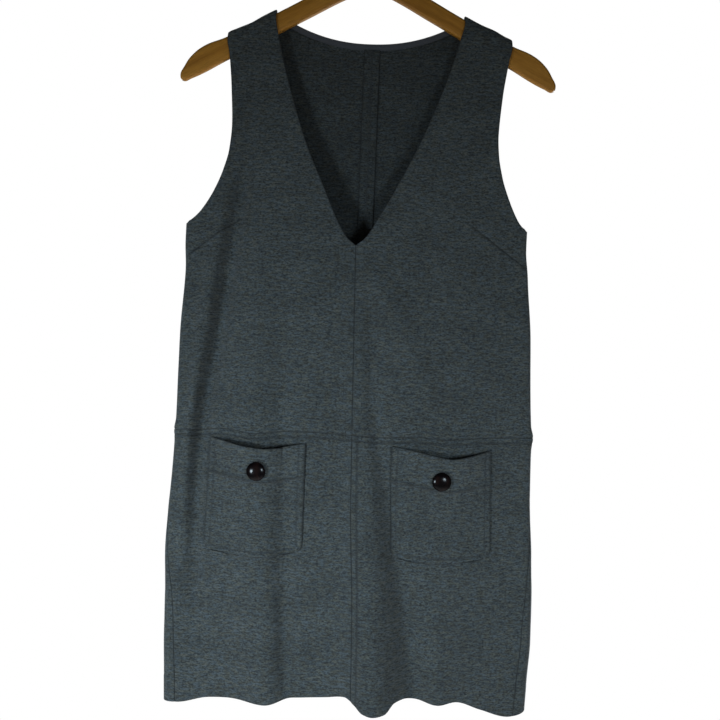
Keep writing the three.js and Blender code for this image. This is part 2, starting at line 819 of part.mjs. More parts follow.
const knit = () => new THREE.MeshStandardMaterial({ color: '#3d474b', roughness: 0.9 });
const tape = new THREE.MeshStandardMaterial({ color: '#39444d', roughness: 0.8 });
const horn = new THREE.MeshStandardMaterial({ color: '#0f0c0d', roughness: 0.15 });
const wood = new THREE.MeshStandardMaterial({ color: '#8a5a2b', roughness: 0.45 });
const steel = new THREE.MeshStandardMaterial({ color: '#b9bbbd', roughness: 0.25, metalness: 1 });

const dress = new THREE.Group();
function add(name, geometry, material) {
  const mesh = new THREE.Mesh(geometry, material);
  mesh.name = name;
  dress.add(mesh);
  return mesh;
}

[['left', -1], ['right', 1]].forEach(([hand, side]) => {
  [['front', -1], ['back', 1]].forEach(([where, face]) => {
    add(`${where}_bodice_${hand}`, bodice(side, face), knit());
    add(`${where}_skirt_${hand}`, skirt(side, face), knit());
  });
});
POCKETS.forEach((pocket) => {
  add(`pocket_${pocket.name}`, pocketWall(pocket), knit());
  const seat = buttonSeat(pocket);
  const mesh = add(`button_${pocket.name}`, button(), horn);
  mesh.position.copy(seat.point);
  mesh.quaternion.setFromUnitVectors(new THREE.Vector3(0, -1, 0), seat.normal);
});
add('back_neck_tape', neckTape(), tape);
add('hanger_wood', hangerWood(), wood);
add('hanger_hook', hangerHook(), steel);

export default dress;
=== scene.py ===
# %% [markdown]
# # A knit pinafore on a wooden hanger
# The dress is sewn from one heavy marled double knit: two front bodices, two back bodices, four
# skirt pieces and two patch pockets with a horn button each. It hangs on a flat wooden hanger.
# The frame gives each piece its size and place. Here every piece gets its fine form and its
# finish.

# %% Load the frame
import json
import math

import bmesh
import bpy
import numpy as np
from mathutils import Matrix, Vector

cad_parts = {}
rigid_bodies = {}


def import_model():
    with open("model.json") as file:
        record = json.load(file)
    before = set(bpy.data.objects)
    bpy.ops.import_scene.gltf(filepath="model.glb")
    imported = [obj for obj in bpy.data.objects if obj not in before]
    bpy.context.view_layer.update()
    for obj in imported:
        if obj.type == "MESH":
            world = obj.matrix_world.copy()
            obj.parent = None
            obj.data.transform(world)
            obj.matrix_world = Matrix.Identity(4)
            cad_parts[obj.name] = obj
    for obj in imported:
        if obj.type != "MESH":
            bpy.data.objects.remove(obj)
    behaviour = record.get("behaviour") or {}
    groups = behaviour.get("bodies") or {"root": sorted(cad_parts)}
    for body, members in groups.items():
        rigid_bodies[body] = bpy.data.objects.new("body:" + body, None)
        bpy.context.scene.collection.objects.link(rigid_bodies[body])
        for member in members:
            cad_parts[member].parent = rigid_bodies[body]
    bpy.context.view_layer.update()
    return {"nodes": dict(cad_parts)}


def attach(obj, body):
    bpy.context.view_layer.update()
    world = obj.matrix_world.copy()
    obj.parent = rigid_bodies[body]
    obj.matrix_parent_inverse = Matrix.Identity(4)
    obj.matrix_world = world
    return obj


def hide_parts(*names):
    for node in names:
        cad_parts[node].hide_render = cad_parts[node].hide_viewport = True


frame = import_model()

MM = 0.001
print("Nodes in the frame:", ", ".join(sorted(frame["nodes"])))

# %% [markdown]
# ## Camera
# The photograph was taken from about a metre and a half, level with the waist and turned by a
# degree and a half. The camera is made first, from those three facts and the width that it saw.

# %% Camera
CAMERA_PLACE = (-0.0021, -1.510, -0.5378)
CAMERA_FIELD = math.radians(31.98)
CAMERA_ROLL = math.radians(1.5)


def placed(name, data):
    """A new object in the scene."""
    made = bpy.data.objects.new(name, data)
    bpy.context.scene.collection.objects.link(made)
    return made


def set_camera():
    """Looks along +Y, rolled about its own line of sight."""
    data = bpy.data.cameras.new("camera")
    data.sensor_fit = "HORIZONTAL"
    data.angle = CAMERA_FIELD
    data.clip_start = 0.05
    camera = placed("camera", data)
    camera.matrix_world = (
        Matrix.Translation(CAMERA_PLACE)
        @ Matrix.Rotation(math.pi / 2, 4, "X")
        @ Matrix.Rotation(CAMERA_ROLL, 4, "Z")
    )
    bpy.context.scene.camera = camera
    return camera


camera = set_camera()
print("Lens of the camera:", round(camera.data.lens, 1), "mm")

# %% [markdown]
# ## The cut of the dress in numbers
# Heights are "down", the millimetres below the hook's inside top, and widths are millimetres from
# the middle line. Each table has a row for one level, and a smooth curve runs through its rows, so
# a few sizes give the whole surface. A shape's softness is a width in millimetres, a power or the
# ends of an ease.

# %% Sizes of the cloth
CLOTH = 2.0
SEAM_LAP = 0.1
BUTTON_GAP = 0.3
WAIST_DOWN = 626
UNDERARM_DOWN = 379
V_POINT_DOWN = 402
HEM_LEVEL = 945
SIDE_FLATNESS = 1.5
FOLD_FADE = 0.06
STRAP_OUT = 9.8
STRAP_RISE = 9.5
STRAP_REST_GAP = 0.8
STRAP_ROUNDNESS = 3
STRAP_INNER = 113
STRAP_OUTER = 170.5
CREASE_END = 0.02
CREASE_END_POWER = 0.7
SLOPE_STEP = 0.2
LEFT, RIGHT = -1, 1
FRONT, BACK = -1, 1
HANDS = {LEFT: "left", RIGHT: "right"}
WHERE = {FRONT: "front", BACK: "back"}
FAR = 99.0


def table(columns, *rows):
    """A table as a dictionary of columns."""
    return dict(zip(columns.split(), np.array(rows, float).T))


BODY = table(
    "down middle half front back bend",
    (100, 0, 206, 9.8, 9.8, 9.8),
    (150, -0.6, 206, 9.8, 9.8, 9.8),
    (190, -1.8, 206, 12, 11.5, 9.4),
    (262, -4.8, 206, 16, 15, 8.6),
    (339, -7.8, 205.5, 20, 18.5, 7.6),
    (379, -10.1, 205, 22, 20.5, 7),
    (402, -10.6, 205, 23, 21.5, 7),
    (435, -8.7, 205.9, 24.5, 22.5, 7),
    (507, -8.4, 210.8, 27, 25, 7.5),
    (555, -8.4, 211.9, 28.5, 26.5, 8),
    (612, -7.8, 213.6, 30, 28, 8),
    (626, -7.4, 216, 30.5, 28.5, 8),
    (641, -8, 214.6, 31, 29, 8.2),
    (675, -9, 215.4, 32, 29.5, 8.6),
    (723, -10.3, 217.6, 33, 31, 9.2),
    (771, -10.2, 220.1, 34.5, 32.5, 10),
    (820, -8.8, 220.3, 36, 34, 10.6),
    (868, -8.9, 220.2, 37.5, 35.5, 11.2),
    (915, -9.9, 218, 39, 37, 11.8),
    (960, -10.6, 216.2, 40, 38, 12),
)
V_NECK = table(
    "down half",
    (110, 116), (128, 113), (151, 109), (263, 74.4), (339, 40.3), (369, 25.4), (393, 10.8),
    (402, 0),
)
ARMHOLE = table(
    "down left right",
    (110, 176, 178.4),
    (150, 170.2, 172.4),
    (185, 165, 167.2),
    (220, 160.9, 163.4),
    (265, 157.6, 161.6),
    (290, 159.2, 163.7),
    (314, 164.8, 169),
    (338, 173.8, 177.6),
    (363, 187.6, 190),
    (373, 196.6, 197),
    (379, 205, 205),
)
FRONT_SEAM = table(
    "down x",
    (402, -10.6), (546, -9.8), (624, -9.4), (712, -8.6), (825, -4.4), (940, -3),
)
BACK_SEAM = table(
    "down x",
    (156, 3), (262, 1.6), (368, 0), (500, -5), (626, -8), (950, -9),
)
SIDE_SEAM_SWING = table("down swing", (690, 0), (785, 11), (846, 18), (891, 20), (960, 22))
HEM = table(
    "around down",
    (-455, 946), (-415, 945), (-360, 951), (-300, 945), (-222, 951), (-201, 951), (-161, 942.5),
    (-133, 941), (-94, 943.5), (-60, 936), (-22, 933.5), (0, 930.5), (11.5, 937.4), (21, 945),
    (34, 947.6), (47, 946.4), (59, 936.2), (70, 934.6), (82, 936.5), (110, 941.5), (130, 939),
    (161, 949), (196, 958.5), (222, 953), (300, 947), (350, 952), (405, 945), (455, 946),
)
WAIST_WAVE = table(
    "x sag",
    (-214, 0), (-190, 0), (-165, -2.6), (-145, -0.5), (-124, 2), (-104, 0), (-84, -1.5),
    (-53, -1.6), (-20, 0), (0, 1), (22, 2.8), (47, 2), (65, 0.8), (88, 2.8), (108, 4.2),
    (133, 2.2), (156, 0.6), (185, 0),
)
WAIST_WAVE_REACH = 34
BACK_NECK_DOWN = 156
BACK_NECK_RISE = 20
BACK_NECK_HALF = 90
BACK_NECK_POWER = 2.2
WOOD_TOP = table(
    "x down",
    (0, 62.5), (14, 66.5), (40, 83.5), (76, 104.3), (111.4, 124), (172.5, 155.3), (198, 166.3),
)
STRAP_STANDS_OFF = {LEFT: 2.2, RIGHT: 0.0}
STRAP_RUFFLES = {
    LEFT: table("x out spread", (167, 0.6, 6), (143, -1.1, 9)),
    RIGHT: table("x out spread", (150, 2.1, 13), (170, 1.5, 8)),
}

# %% [markdown]
# ## Folds
# Each fold is a line that runs down the cloth, with how far it stands out there and how wide it
# is. Out is minus for a trough. The largest are in the solids already. The narrower ones, such as
# the trough down the left side, are only here.

# %% Folds that run down the cloth
FOLD = "down x out spread"
FRONT_FOLDS = [
    table(
        FOLD,
        (470, 0, 0, 18), (600, 6, 3.5, 20), (766, 13, 15, 25), (876, 17, 25, 28),
        (950, 22, 33, 30),
    ),
    table(
        FOLD,
        (430, 7, 0, 8), (520, 11, -5, 8.5), (600, 16, -6.2, 9.5), (681, 31, -8, 12.5),
        (777, 48, -10, 15), (849, 62, -12, 16), (940, 74, -12, 17),
    ),
    table(FOLD, (740, 84, 0, 14), (850, 92, 3, 18), (940, 99, 8, 20)),
    table(
        FOLD,
        (420, -90, 0, 16), (540, -90, -3.5, 18), (620, -88, -4.5, 17), (700, -84, -7, 15),
        (800, -82, -7.5, 13), (880, -81, -6, 11), (945, -78, -4, 11),
    ),
    table(FOLD, (520, -134, 0, 20), (620, -126, 4, 24), (770, -116, 8, 28), (940, -105, 15, 28)),
    table(
        FOLD,
        (250, -138, 0, 9), (320, -146, -7, 9.5), (400, -157, -13, 10.5), (472, -167, -14.5, 11),
        (544, -177, -14.5, 11), (600, -186, -14, 11), (687, -193, -11.5, 10.5), (800, -194, -7, 10),
        (890, -192, 0, 10),
    ),
    table(
        FOLD,
        (300, -132, 0, 18), (380, -142, -2, 18), (506, -155, -3.2, 20), (590, -165, -3.2, 20),
        (687, -172, -3, 20), (800, -174, -2, 20), (890, -174, 0, 20),
    ),
    table(
        FOLD,
        (290, -160, 0, 8), (400, -176, 5.5, 9), (472, -186, 7.5, 9.5), (544, -195, 7.5, 9.5),
        (600, -203, 7, 9), (687, -208, 5, 9), (800, -206, 0, 9),
    ),
    table(FOLD, (402, -8, 0, 14), (450, 22, 4, 16), (545, 66, 4.6, 18), (612, 92, 0, 18)),
]
BACK_FOLDS = [
    table(FOLD, (430, -58, 0, 22), (640, -70, 5, 26), (940, -92, 20, 32)),
    table(FOLD, (520, -20, 0, 18), (740, -28, -5, 20), (940, -36, -8, 22)),
    table(FOLD, (400, 96, 0, 20), (640, 88, 5, 24), (940, 76, 17, 30)),
]

# %% [markdown]
# ## Creases
# A crease is narrower and shallower than a fold, and short: where an arm dragged the cloth, where
# a seam holds it back, or where it was folded in a drawer. Each is a soft trough (out is minus) or
# a ridge along a straight line, never twice the same.

# %% Creases
CREASE = "x0 down0 x1 down1 out spread"
FRONT_CREASES = table(
    CREASE,
    (-150, 250, -128, 330, -0.9, 9),
    (-176, 342, -150, 300, -1.1, 7),
    (-186, 372, -120, 352, 0.8, 6),
    (-198, 396, -150, 470, -1.2, 9),
    (-120, 190, -112, 262, -0.8, 7),
    (138, 205, 128, 300, -0.9, 8),
    (170, 330, 140, 288, -1.0, 7),
    (188, 398, 150, 452, -1.1, 9),
    (150, 452, 132, 590, 0.9, 12),
    (112, 470, 118, 612, -1.0, 10),
    (-101, 450, -96, 640, -2.6, 9.5),
    (-96, 600, -90, 800, -2.8, 9.5),
    (-91, 770, -78, 950, -4.0, 10),
    (-4, 830, -1, 950, -1.8, 8),
    (-60, 420, -52, 560, 0.8, 12),
    (-36, 560, -30, 628, -0.8, 8),
    (22, 500, 27, 560, -0.9, 9),
    (176, 650, 170, 810, -1.2, 12),
    (186, 560, 176, 640, 0.9, 10),
    (128, 800, 138, 930, -1.8, 11),
    (-160, 800, -150, 930, -1.4, 13),
    (-46, 860, -40, 934, -1.2, 10),
    (196, 434, 172, 420, -0.7, 5),
    (-202, 600, -176, 618, -0.7, 5),
    (200, 616, 168, 628, 0.6, 6),
)
BACK_CREASES = table(
    CREASE,
    (-150, 230, -134, 330, -0.9, 9),
    (150, 250, 128, 340, -1.0, 9),
    (-190, 400, -120, 470, -1.3, 11),
    (186, 392, 118, 450, -1.1, 10),
    (-60, 180, -30, 240, -0.7, 12),
    (64, 190, 38, 250, -0.7, 11),
    (-130, 480, -122, 615, 1.0, 12),
    (40, 470, 46, 610, -1.0, 11),
    (130, 500, 136, 624, -0.9, 10),
    (-140, 640, -146, 900, -1.6, 14),
    (20, 700, 26, 930, -1.4, 13),
    (130, 660, 140, 930, -1.8, 14),
    (-40, 820, -52, 930, 1.0, 9),
    (-196, 640, -160, 630, 0.6, 6),
    (190, 634, 150, 629, 0.6, 6),
)


def follow(columns, along, across):
    """A smooth curve through two columns of a table, which never swings past its rows."""
    at, value = columns[along], columns[across]
    rate = np.diff(value) / np.diff(at)
    before = np.concatenate([rate[:1], rate])
    after = np.concatenate([rate, rate[-1:]])
    same_way = before * after > 0
    slope = np.where(same_way, 2 * before * after / np.where(same_way, before + after, 1), 0)

    def curve(place):
        p = np.clip(place, at[0], at[-1])
        end = np.clip(np.searchsorted(at, p), 1, len(at) - 1)
        i = end - 1
        length = at[end] - at[i]
        t = (p - at[i]) / length
        rise = value[end] - value[i]
        go, stop = slope[i] * length, slope[end] * length
        return value[i] + t * (go + t * (3 * rise - 2 * go - stop + t * (go + stop - 2 * rise)))

    return curve


def ease(value, low=0.0, high=1.0):
    """0 below low and 1 above high, with a smooth rise between them."""
    t = np.clip((value - low) / (high - low), 0, 1)
    return t * t * (3 - 2 * t)


def mix(a, b, share):
    return a + (b - a) * share


def hump(off, wide):
    """1 in the middle, and less and less with the distance off, over a width."""
    return np.exp(-((off / wide) ** 2))


middle_at = follow(BODY, "down", "middle")
half_at = follow(BODY, "down", "half")
bend_at = follow(BODY, "down", "bend")
deep_at = {FRONT: follow(BODY, "down", "front"), BACK: follow(BODY, "down", "back")}
v_neck_at = follow(V_NECK, "down", "half")
armhole_at = {LEFT: follow(ARMHOLE, "down", "left"), RIGHT: follow(ARMHOLE, "down", "right")}
front_seam_at = follow(FRONT_SEAM, "down", "x")
back_seam_at = follow(BACK_SEAM, "down", "x")
swing_at = follow(SIDE_SEAM_SWING, "down", "swing")
hem_at = follow(HEM, "around", "down")
waist_wave_at = follow(WAIST_WAVE, "x", "sag")
wood_top_at = follow(WOOD_TOP, "x", "down")
folds = {
    face: [tuple(follow(fold, "down", name) for name in ("x", "out", "spread")) for fold in rows]
    for face, rows in ((FRONT, FRONT_FOLDS), (BACK, BACK_FOLDS))
}
creases = {FRONT: FRONT_CREASES, BACK: BACK_CREASES}
print("Folds:", {face: len(rows) for face, rows in folds.items()}, "creases:",
      {face: len(rows["x0"]) for face, rows in creases.items()})

# %% [markdown]
# ## The surface of the hanging dress
# At every level the cloth is two sheets, front and back, joined by a tight round bend at each
# side. A point is found by how far round it lies from the middle of the front, as a tailor's tape
# would measure it. The folds and creases push the sheets out or in.

# %% The surface of the dress
def section_at(down):
    """The bend, the flat half, the way to the side and the way right round to the middle back."""
    bend = bend_at(down)
    flat = half_at(down) - bend
    return bend, flat, flat + bend * math.pi / 2, 2 * flat + bend * math.pi


def folds_out(face, x, down):
    total = 0
    for line, out, spread in folds[face]:
        total = total + out(down) * hump(x - line(down), spread(down))
    return total


def creases_out(face, x, down):
    """Troughs and ridges along short lines, fading at both ends."""
    total = 0
    c = creases[face]
    for x0, down0, x1, down1, out, spread in zip(*(c[name] for name in CREASE.split())):
        run, fall = x1 - x0, down1 - down0
        t = ((x - x0) * run + (down - down0) * fall) / (run**2 + fall**2)
        near = np.clip(t, 0, 1)
        off = np.hypot(x - x0 - near * run, down - down0 - near * fall)
        inner = np.clip(near, CREASE_END, 1 - CREASE_END)
        ends = np.sin(math.pi * inner) ** CREASE_END_POWER
        total = total + out * ends * hump(off, spread)
    return total


def stand_out(face, x, across, down):
    """How far a sheet stands in front of or behind the middle of the dress."""
    bend, flat, _, _ = section_at(down)
    share = np.minimum(np.abs(across) / flat, 1)
    fullness = (1 - share**2) ** SIDE_FLATNESS
    fade = ease(1 - share, 0, FOLD_FADE)
    pushed = folds_out(face, x, down) + creases_out(face, x, down)
    return bend + (deep_at[face](down) - bend) * fullness + pushed * fade


def body_point(side, around, down):
    """Points on the outside of the cloth, in millimetres."""
    around, down = np.broadcast_arrays(np.asarray(around, float), np.asarray(down, float))
    bend, flat, _, whole = section_at(down)
    near, far = around <= flat, around >= whole - flat
    turn = np.clip((around - flat) / bend, 0, math.pi)
    across = np.where(near, around, np.where(far, whole - around, flat + bend * np.sin(turn)))
    x = middle_at(down) + side * across
    y_front = -stand_out(FRONT, x, across, down)
    y_back = stand_out(BACK, x, across, down)
    y = np.where(near, y_front, np.where(far, y_back, -bend * np.cos(turn)))
    return np.stack([x, y, -down], -1)


def waved(side, face, around, down):
    """The cloth of the front sags with its waist seam, less and less above and below it."""
    if face == BACK:
        return down
    near = hump(down - WAIST_DOWN, WAIST_WAVE_REACH)
    return down + waist_wave_at(middle_at(down) + side * around) * near


def strap_lift(side, x):
    """How far a strap stands off the arm of the hanger. The left one is a little ruffled."""
    lift = STRAP_STANDS_OFF[side]
    for middle, out, spread in zip(*STRAP_RUFFLES[side].values()):
        lift = lift + out * hump(x - middle, spread)
    return lift


def strap_point(side, face, x, turn):
    """A strap as it turns over the arm of the hanger: 0 at the foot and 90 at the top."""
    foot = wood_top_at(x) - STRAP_REST_GAP - strap_lift(side, x) - CLOTH + STRAP_RISE
    angle = np.radians(turn)
    power = 2 / STRAP_ROUNDNESS
    out = STRAP_OUT * np.abs(np.cos(angle)) ** power
    up = STRAP_RISE * np.sin(angle) ** power
    y = face * (out - SEAM_LAP / 2)
    return np.stack(np.broadcast_arrays(side * x, y, up - foot), -1)


def surface_normal(surface, way):
    """Unit normals of a surface that is a function of two small shifts, across and down."""
    across = surface(SLOPE_STEP, 0) - surface(-SLOPE_STEP, 0)
    along = surface(0, SLOPE_STEP) - surface(0, -SLOPE_STEP)
    normal = np.cross(across, along) * way
    return normal / np.linalg.norm(normal, axis=-1, keepdims=True)


# %% The edges of the pieces
def armhole_around(side, face, down):
    """How far round the edge of an armhole lies."""
    bend, flat, _, whole = section_at(down)
    half = armhole_at[side](down)
    around = np.minimum(half, flat) + bend * np.arcsin(np.clip((half - flat) / bend, 0, 1))
    return around if face == FRONT else whole - around


def outer_edge(side, face, down):
    """How far round a piece ends at its side seam or armhole."""
    seam = section_at(down)[2] - swing_at(down) - face * SEAM_LAP / 2
    return np.where(down < UNDERARM_DOWN, armhole_around(side, face, down), seam)


def inner_edge(side, face, down):
    """How far round a piece ends at its middle seam or neckline."""
    if face == BACK:
        across = side * (back_seam_at(down) - middle_at(down)) - SEAM_LAP / 2
        return section_at(down)[3] - across
    seam = side * (front_seam_at(down) - middle_at(down))
    return np.where(down < V_POINT_DOWN, v_neck_at(down), seam - SEAM_LAP / 2)


def back_neck_edge(side, neck):
    """The neckline that far from the centre-back seam: how far round, and how far down."""
    down = BACK_NECK_DOWN - BACK_NECK_RISE * (neck / BACK_NECK_HALF) ** BACK_NECK_POWER
    return inner_edge(side, BACK, down) - neck, down


print("Chest from side to side:", round(2 * float(half_at(UNDERARM_DOWN))), "mm, hem:",
      round(2 * float(half_at(HEM_LEVEL))), "mm")

# %% [markdown]
# ## Sewing a wall of cloth
# A piece of cloth could be a plane with a Solidify modifier, but a knit of this weight is soft at
# its edges and sinks into its seams. So each piece is a grid of points that lies closer together
# near its edges, where the thickness rounds off, and both faces and the rim are made from it.

# %% Grids of cloth
EDGE_STEPS = np.array([0, 0.12, 0.35, 0.65, 1.0, 1.6, 2.6, 4.2, 5.9, 6.5, 7.1, 9.0])
STITCH_STEP = 9
MIDDLE_STEP = 2.6
EDGE_ROUND = 0.8
EDGE_THIN = 0.2
SEAM_SINK = 0.35
SEAM_SINK_WIDE = 1.8
STITCH_SINK = 0.38
STITCH_SINK_WIDE = 0.9
SEAM_SHADE_WIDE = 0.7
STITCH_SHADE = 0.9


def between_edges(length, count, steps=EDGE_STEPS):
    """Places along a row, in millimetres from its start: close at both ends and even between."""
    even = np.linspace(steps[-1], length - steps[-1], count, axis=-1)
    start = np.broadcast_to(steps, even.shape[:-1] + steps.shape)
    finish = np.asarray(length)[..., None] - start[..., ::-1]
    return np.concatenate([start[..., :-1], even, finish[..., 1:]], -1)


def rounding(*distances):
    """How much of the thickness is left, that far from each edge."""
    left = 1.0
    for d in distances:
        inside = np.clip(1 - d / EDGE_ROUND, 0, 1)
        left = left * np.sqrt(1 - inside**2 * (1 - EDGE_THIN**2))
    return left


def sunk(*distances):
    """The dip of the cloth beside a seam or a turned edge."""
    return -SEAM_SINK * sum(hump(d, SEAM_SINK_WIDE) for d in distances)


def stitched(distance, line=EDGE_STEPS[STITCH_STEP]):
    """The soft groove that a line of topstitching pulls into the cloth."""
    return -STITCH_SINK * hump(distance - line, STITCH_SINK_WIDE)


def grid_normals(points, way):
    across = np.gradient(points, axis=1)
    along = np.gradient(points, axis=0)
    normal = np.cross(across, along) * way
    return normal / np.linalg.norm(normal, axis=-1, keepdims=True)


def sew(name, outside, inside, uv, seam, materials):
    """One closed piece from its two faces. Material 0 is the outside and 1 the inside."""
    rows, columns = outside.shape[:2]
    count = rows * columns
    number = np.arange(count).reshape(rows, columns)
    quads = np.stack([number[:-1, :-1], number[1:, :-1], number[1:, 1:], number[:-1, 1:]], -1)
    outer = quads.reshape(-1, 4)
    inner = outer[:, ::-1] + count
    border = np.concatenate(
        [number[0, :-1], number[:-1, -1], number[-1, :0:-1], number[:0:-1, 0]]
    )
    after = np.roll(border, -1)
    rim = np.stack([border, after, after + count, border + count], -1)
    faces = np.concatenate([outer, inner, rim])
    points = np.concatenate([outside.reshape(-1, 3), inside.reshape(-1, 3)]) * MM
    if volume_of(points, faces) < 0:
        faces = faces[:, ::-1]
    mesh = bpy.data.meshes.new(name)
    mesh.from_pydata(points, [], faces.tolist())
    kind = np.repeat([0, 1, 0], [len(outer), len(inner), len(rim)])
    mesh.polygons.foreach_set("material_index", kind.astype(np.int32))
    mesh.polygons.foreach_set("use_smooth", np.ones(len(faces), bool))
    layer = mesh.uv_layers.new(name="cloth")
    both = np.concatenate([uv.reshape(-1, 2), uv.reshape(-1, 2) + 0.5])
    layer.data.foreach_set("uv", both[faces.reshape(-1)].reshape(-1).astype(np.float32))
    # The seam attribute holds painted shade, for the outside points and then the inside points.
    shade = mesh.attributes.new("seam", "FLOAT", "POINT")
    values = np.concatenate([face.reshape(-1) for face in seam])
    shade.data.foreach_set("value", values.astype(np.float32))
    for material in materials:
        mesh.materials.append(material)
    return placed(name, mesh)


def volume_of(points, faces):
    a, b, c, d = (points[faces[:, i]] for i in range(4))
    return float((np.cross(b, c) * a).sum() + (np.cross(c, d) * a).sum())


def cloth_wall(
    name, points, way, distances, detail, groove, uv, materials,
    thick=CLOTH, shade=0.0, inner_shade=0.0,
):
    """A wall of cloth behind the given outside points, rounded at its edges and stitched."""
    normal = grid_normals(points, way)
    left = rounding(*distances)[..., None] * thick / 2
    middle = points - normal * thick / 2
    outside = middle + normal * (left + (detail + groove)[..., None])
    inside = middle - normal * left
    # Painted shade for the seam attribute: darker at every edge and in the stitch grooves, and
    # darker still where shade or inner_shade is painted on the outside or the inside.
    nearest = np.minimum.reduce(np.broadcast_arrays(*distances))
    seam = np.maximum(hump(nearest, SEAM_SHADE_WIDE), STITCH_SHADE * -groove / STITCH_SINK)
    shades = [np.maximum(seam, face_shade) for face_shade in (shade, inner_shade)]
    piece = sew(name, outside, inside, uv * MM, shades, materials)
    return {"piece": piece, "outside": outside, "normal": normal}


# %% [markdown]
# ## The marled knit
# The yarn is spun from blue-grey, green-grey and near-black fibres, so the cloth shows short
# streaks along its rows of stitches. The pattern follows the cloth's own UV map, laid out in
# metres, so the streaks run round the body and across each panel. Noise stretched along the rows
# gives the streaks, two sine waves the stitches, and a little sheen the soft nap.

# %% A helper for materials
def new_material(name):
    material = bpy.data.materials.new(name)
    material.use_nodes = True
    return material, material.node_tree, material.node_tree.nodes["Principled BSDF"]


def node(tree, kind, inputs=None, **settings):
    """A new node, with its inputs linked or set and its settings made."""
    made = tree.nodes.new(kind)
    for key, value in settings.items():
        setattr(made, key, value)
    for key, value in (inputs or {}).items():
        if isinstance(value, bpy.types.NodeSocket):
            tree.links.new(value, made.inputs[key])
        else:
            made.inputs[key].default_value = value
    return made


def ramp(tree, factor, *stops):
    """Colours or greys at places from 0 to 1."""
    made = node(tree, "ShaderNodeValToRGB", {"Fac": factor})
    points = made.color_ramp.elements
    while len(points) < len(stops):
        points.new(0.5)
    for point, (place, colour) in zip(points, stops):
        point.position = place
        grey = not hasattr(colour, "__len__")
        point.color = (colour, colour, colour, 1) if grey else (*colour, 1)
    return made.outputs["Color"]


def noise(tree, place, scale, detail=2.0, rough=0.5):
    inputs = {"Vector": place, "Scale": scale, "Detail": detail, "Roughness": rough}
    return node(tree, "ShaderNodeTexNoise", inputs).outputs["Fac"]


def stretched_noise(tree, place, size, detail=2.0, rough=0.5):
    """Noise whose grains have two or three sizes in millimetres."""
    scale = [1000 / length for length in size] + [1] * (3 - len(size))
    moved = node(tree, "ShaderNodeMapping", {"Vector": place, "Scale": scale})
    return noise(tree, moved.outputs[0], 1.0, detail, rough)


def blend(tree, a, b, factor, how="MIX"):
    made = node(tree, "ShaderNodeMix", data_type="RGBA", blend_type=how)
    for socket, value in ((made.inputs[6], a), (made.inputs[7], b), (made.inputs[0], factor)):
        if isinstance(value, bpy.types.NodeSocket):
            tree.links.new(value, socket)
        elif hasattr(value, "__len__"):
            socket.default_value = (*value, 1)
        else:
            socket.default_value = value
    return made.outputs[2]


def maths(tree, how, a, b=0.0):
    made = node(tree, "ShaderNodeMath", operation=how)
    for socket, value in ((made.inputs[0], a), (made.inputs[1], b)):
        if isinstance(value, bpy.types.NodeSocket):
            tree.links.new(value, socket)
        else:
            socket.default_value = value
    return made.outputs[0]


def finish_surface(tree, shader, colour, values, height=None, strength=0.0, distance=0.0):
    """Links a colour and a bump, and sets plain values on the shader's own sockets."""
    tree.links.new(colour, shader.inputs["Base Color"])
    for name, value in values.items():
        shader.inputs[name].default_value = value
    if height is not None:
        bumps = {"Height": height, "Strength": strength, "Distance": distance}
        bump = node(tree, "ShaderNodeBump", bumps)
        tree.links.new(bump.outputs[0], shader.inputs["Normal"])


# %% The knit
ROW_PITCH = 1.15
WALE_PITCH = 0.95


def knit(name, tones, share):
    """Marled double knit in a share of the tones' full brightness."""
    material, tree, shader = new_material(name)
    ground, cool, warm, light, dark = (tuple(share * c for c in tone) for tone in tones)
    place = node(tree, "ShaderNodeUVMap", uv_map="cloth").outputs[0]
    split = node(tree, "ShaderNodeSeparateXYZ", {"Vector": place})

    def streaks(size, detail, *stops):
        return ramp(tree, stretched_noise(tree, place, size, detail=detail), *stops)

    def waves(axis, pitch):
        turned = maths(tree, "MULTIPLY", split.outputs[axis], 2000 * math.pi / pitch)
        return maths(tree, "SINE", turned)

    fine = maths(tree, "MULTIPLY", stretched_noise(tree, place, (2.9, 1.5), 3, rough=0.6), 0.6)
    long = maths(tree, "MULTIPLY", stretched_noise(tree, place, (9, 2.6)), 0.4)
    both = maths(tree, "ADD", fine, long)
    tint = streaks((9, 3.0), 2, (0.4, warm), (0.5, ground), (0.6, cool))
    shade = ramp(tree, both, (0.38, 0.40), (0.5, 1.0), (0.62, 1.65))
    colour = blend(tree, tint, shade, 1.0, "MULTIPLY")
    near_black = streaks((3.8, 1.6), 1, (0.60, 0.0), (0.68, 0.85))
    colour = blend(tree, colour, dark, near_black)
    pale = streaks((3.4, 1.6), 1, (0.63, 0.0), (0.73, 0.65))
    colour = blend(tree, colour, light, pale)
    tone = streaks((60, 30), 3, (0.3, 0.84), (0.7, 1.13))
    colour = blend(tree, colour, tone, 1.0, "MULTIPLY")
    # Painted shade: the seam attribute darkens the colour towards the dark tone along edges, seams,
    # stitch lines, darts and the pocket edges.
    painted_seam_shade = node(tree, "ShaderNodeAttribute", attribute_name="seam").outputs["Fac"]
    colour = blend(tree, colour, dark, maths(tree, "MULTIPLY", painted_seam_shade, 0.7))

    loops = maths(tree, "MULTIPLY", waves(0, WALE_PITCH), waves(1, ROW_PITCH))
    height = maths(tree, "ADD", maths(tree, "MULTIPLY", loops, 0.16), both)
    values = {
        "Roughness": 0.92, "Sheen Weight": 0.12, "Sheen Roughness": 0.6, "Specular IOR Level": 0.2,
    }
    finish_surface(tree, shader, colour, values, height, strength=0.55, distance=0.0006)
    return material


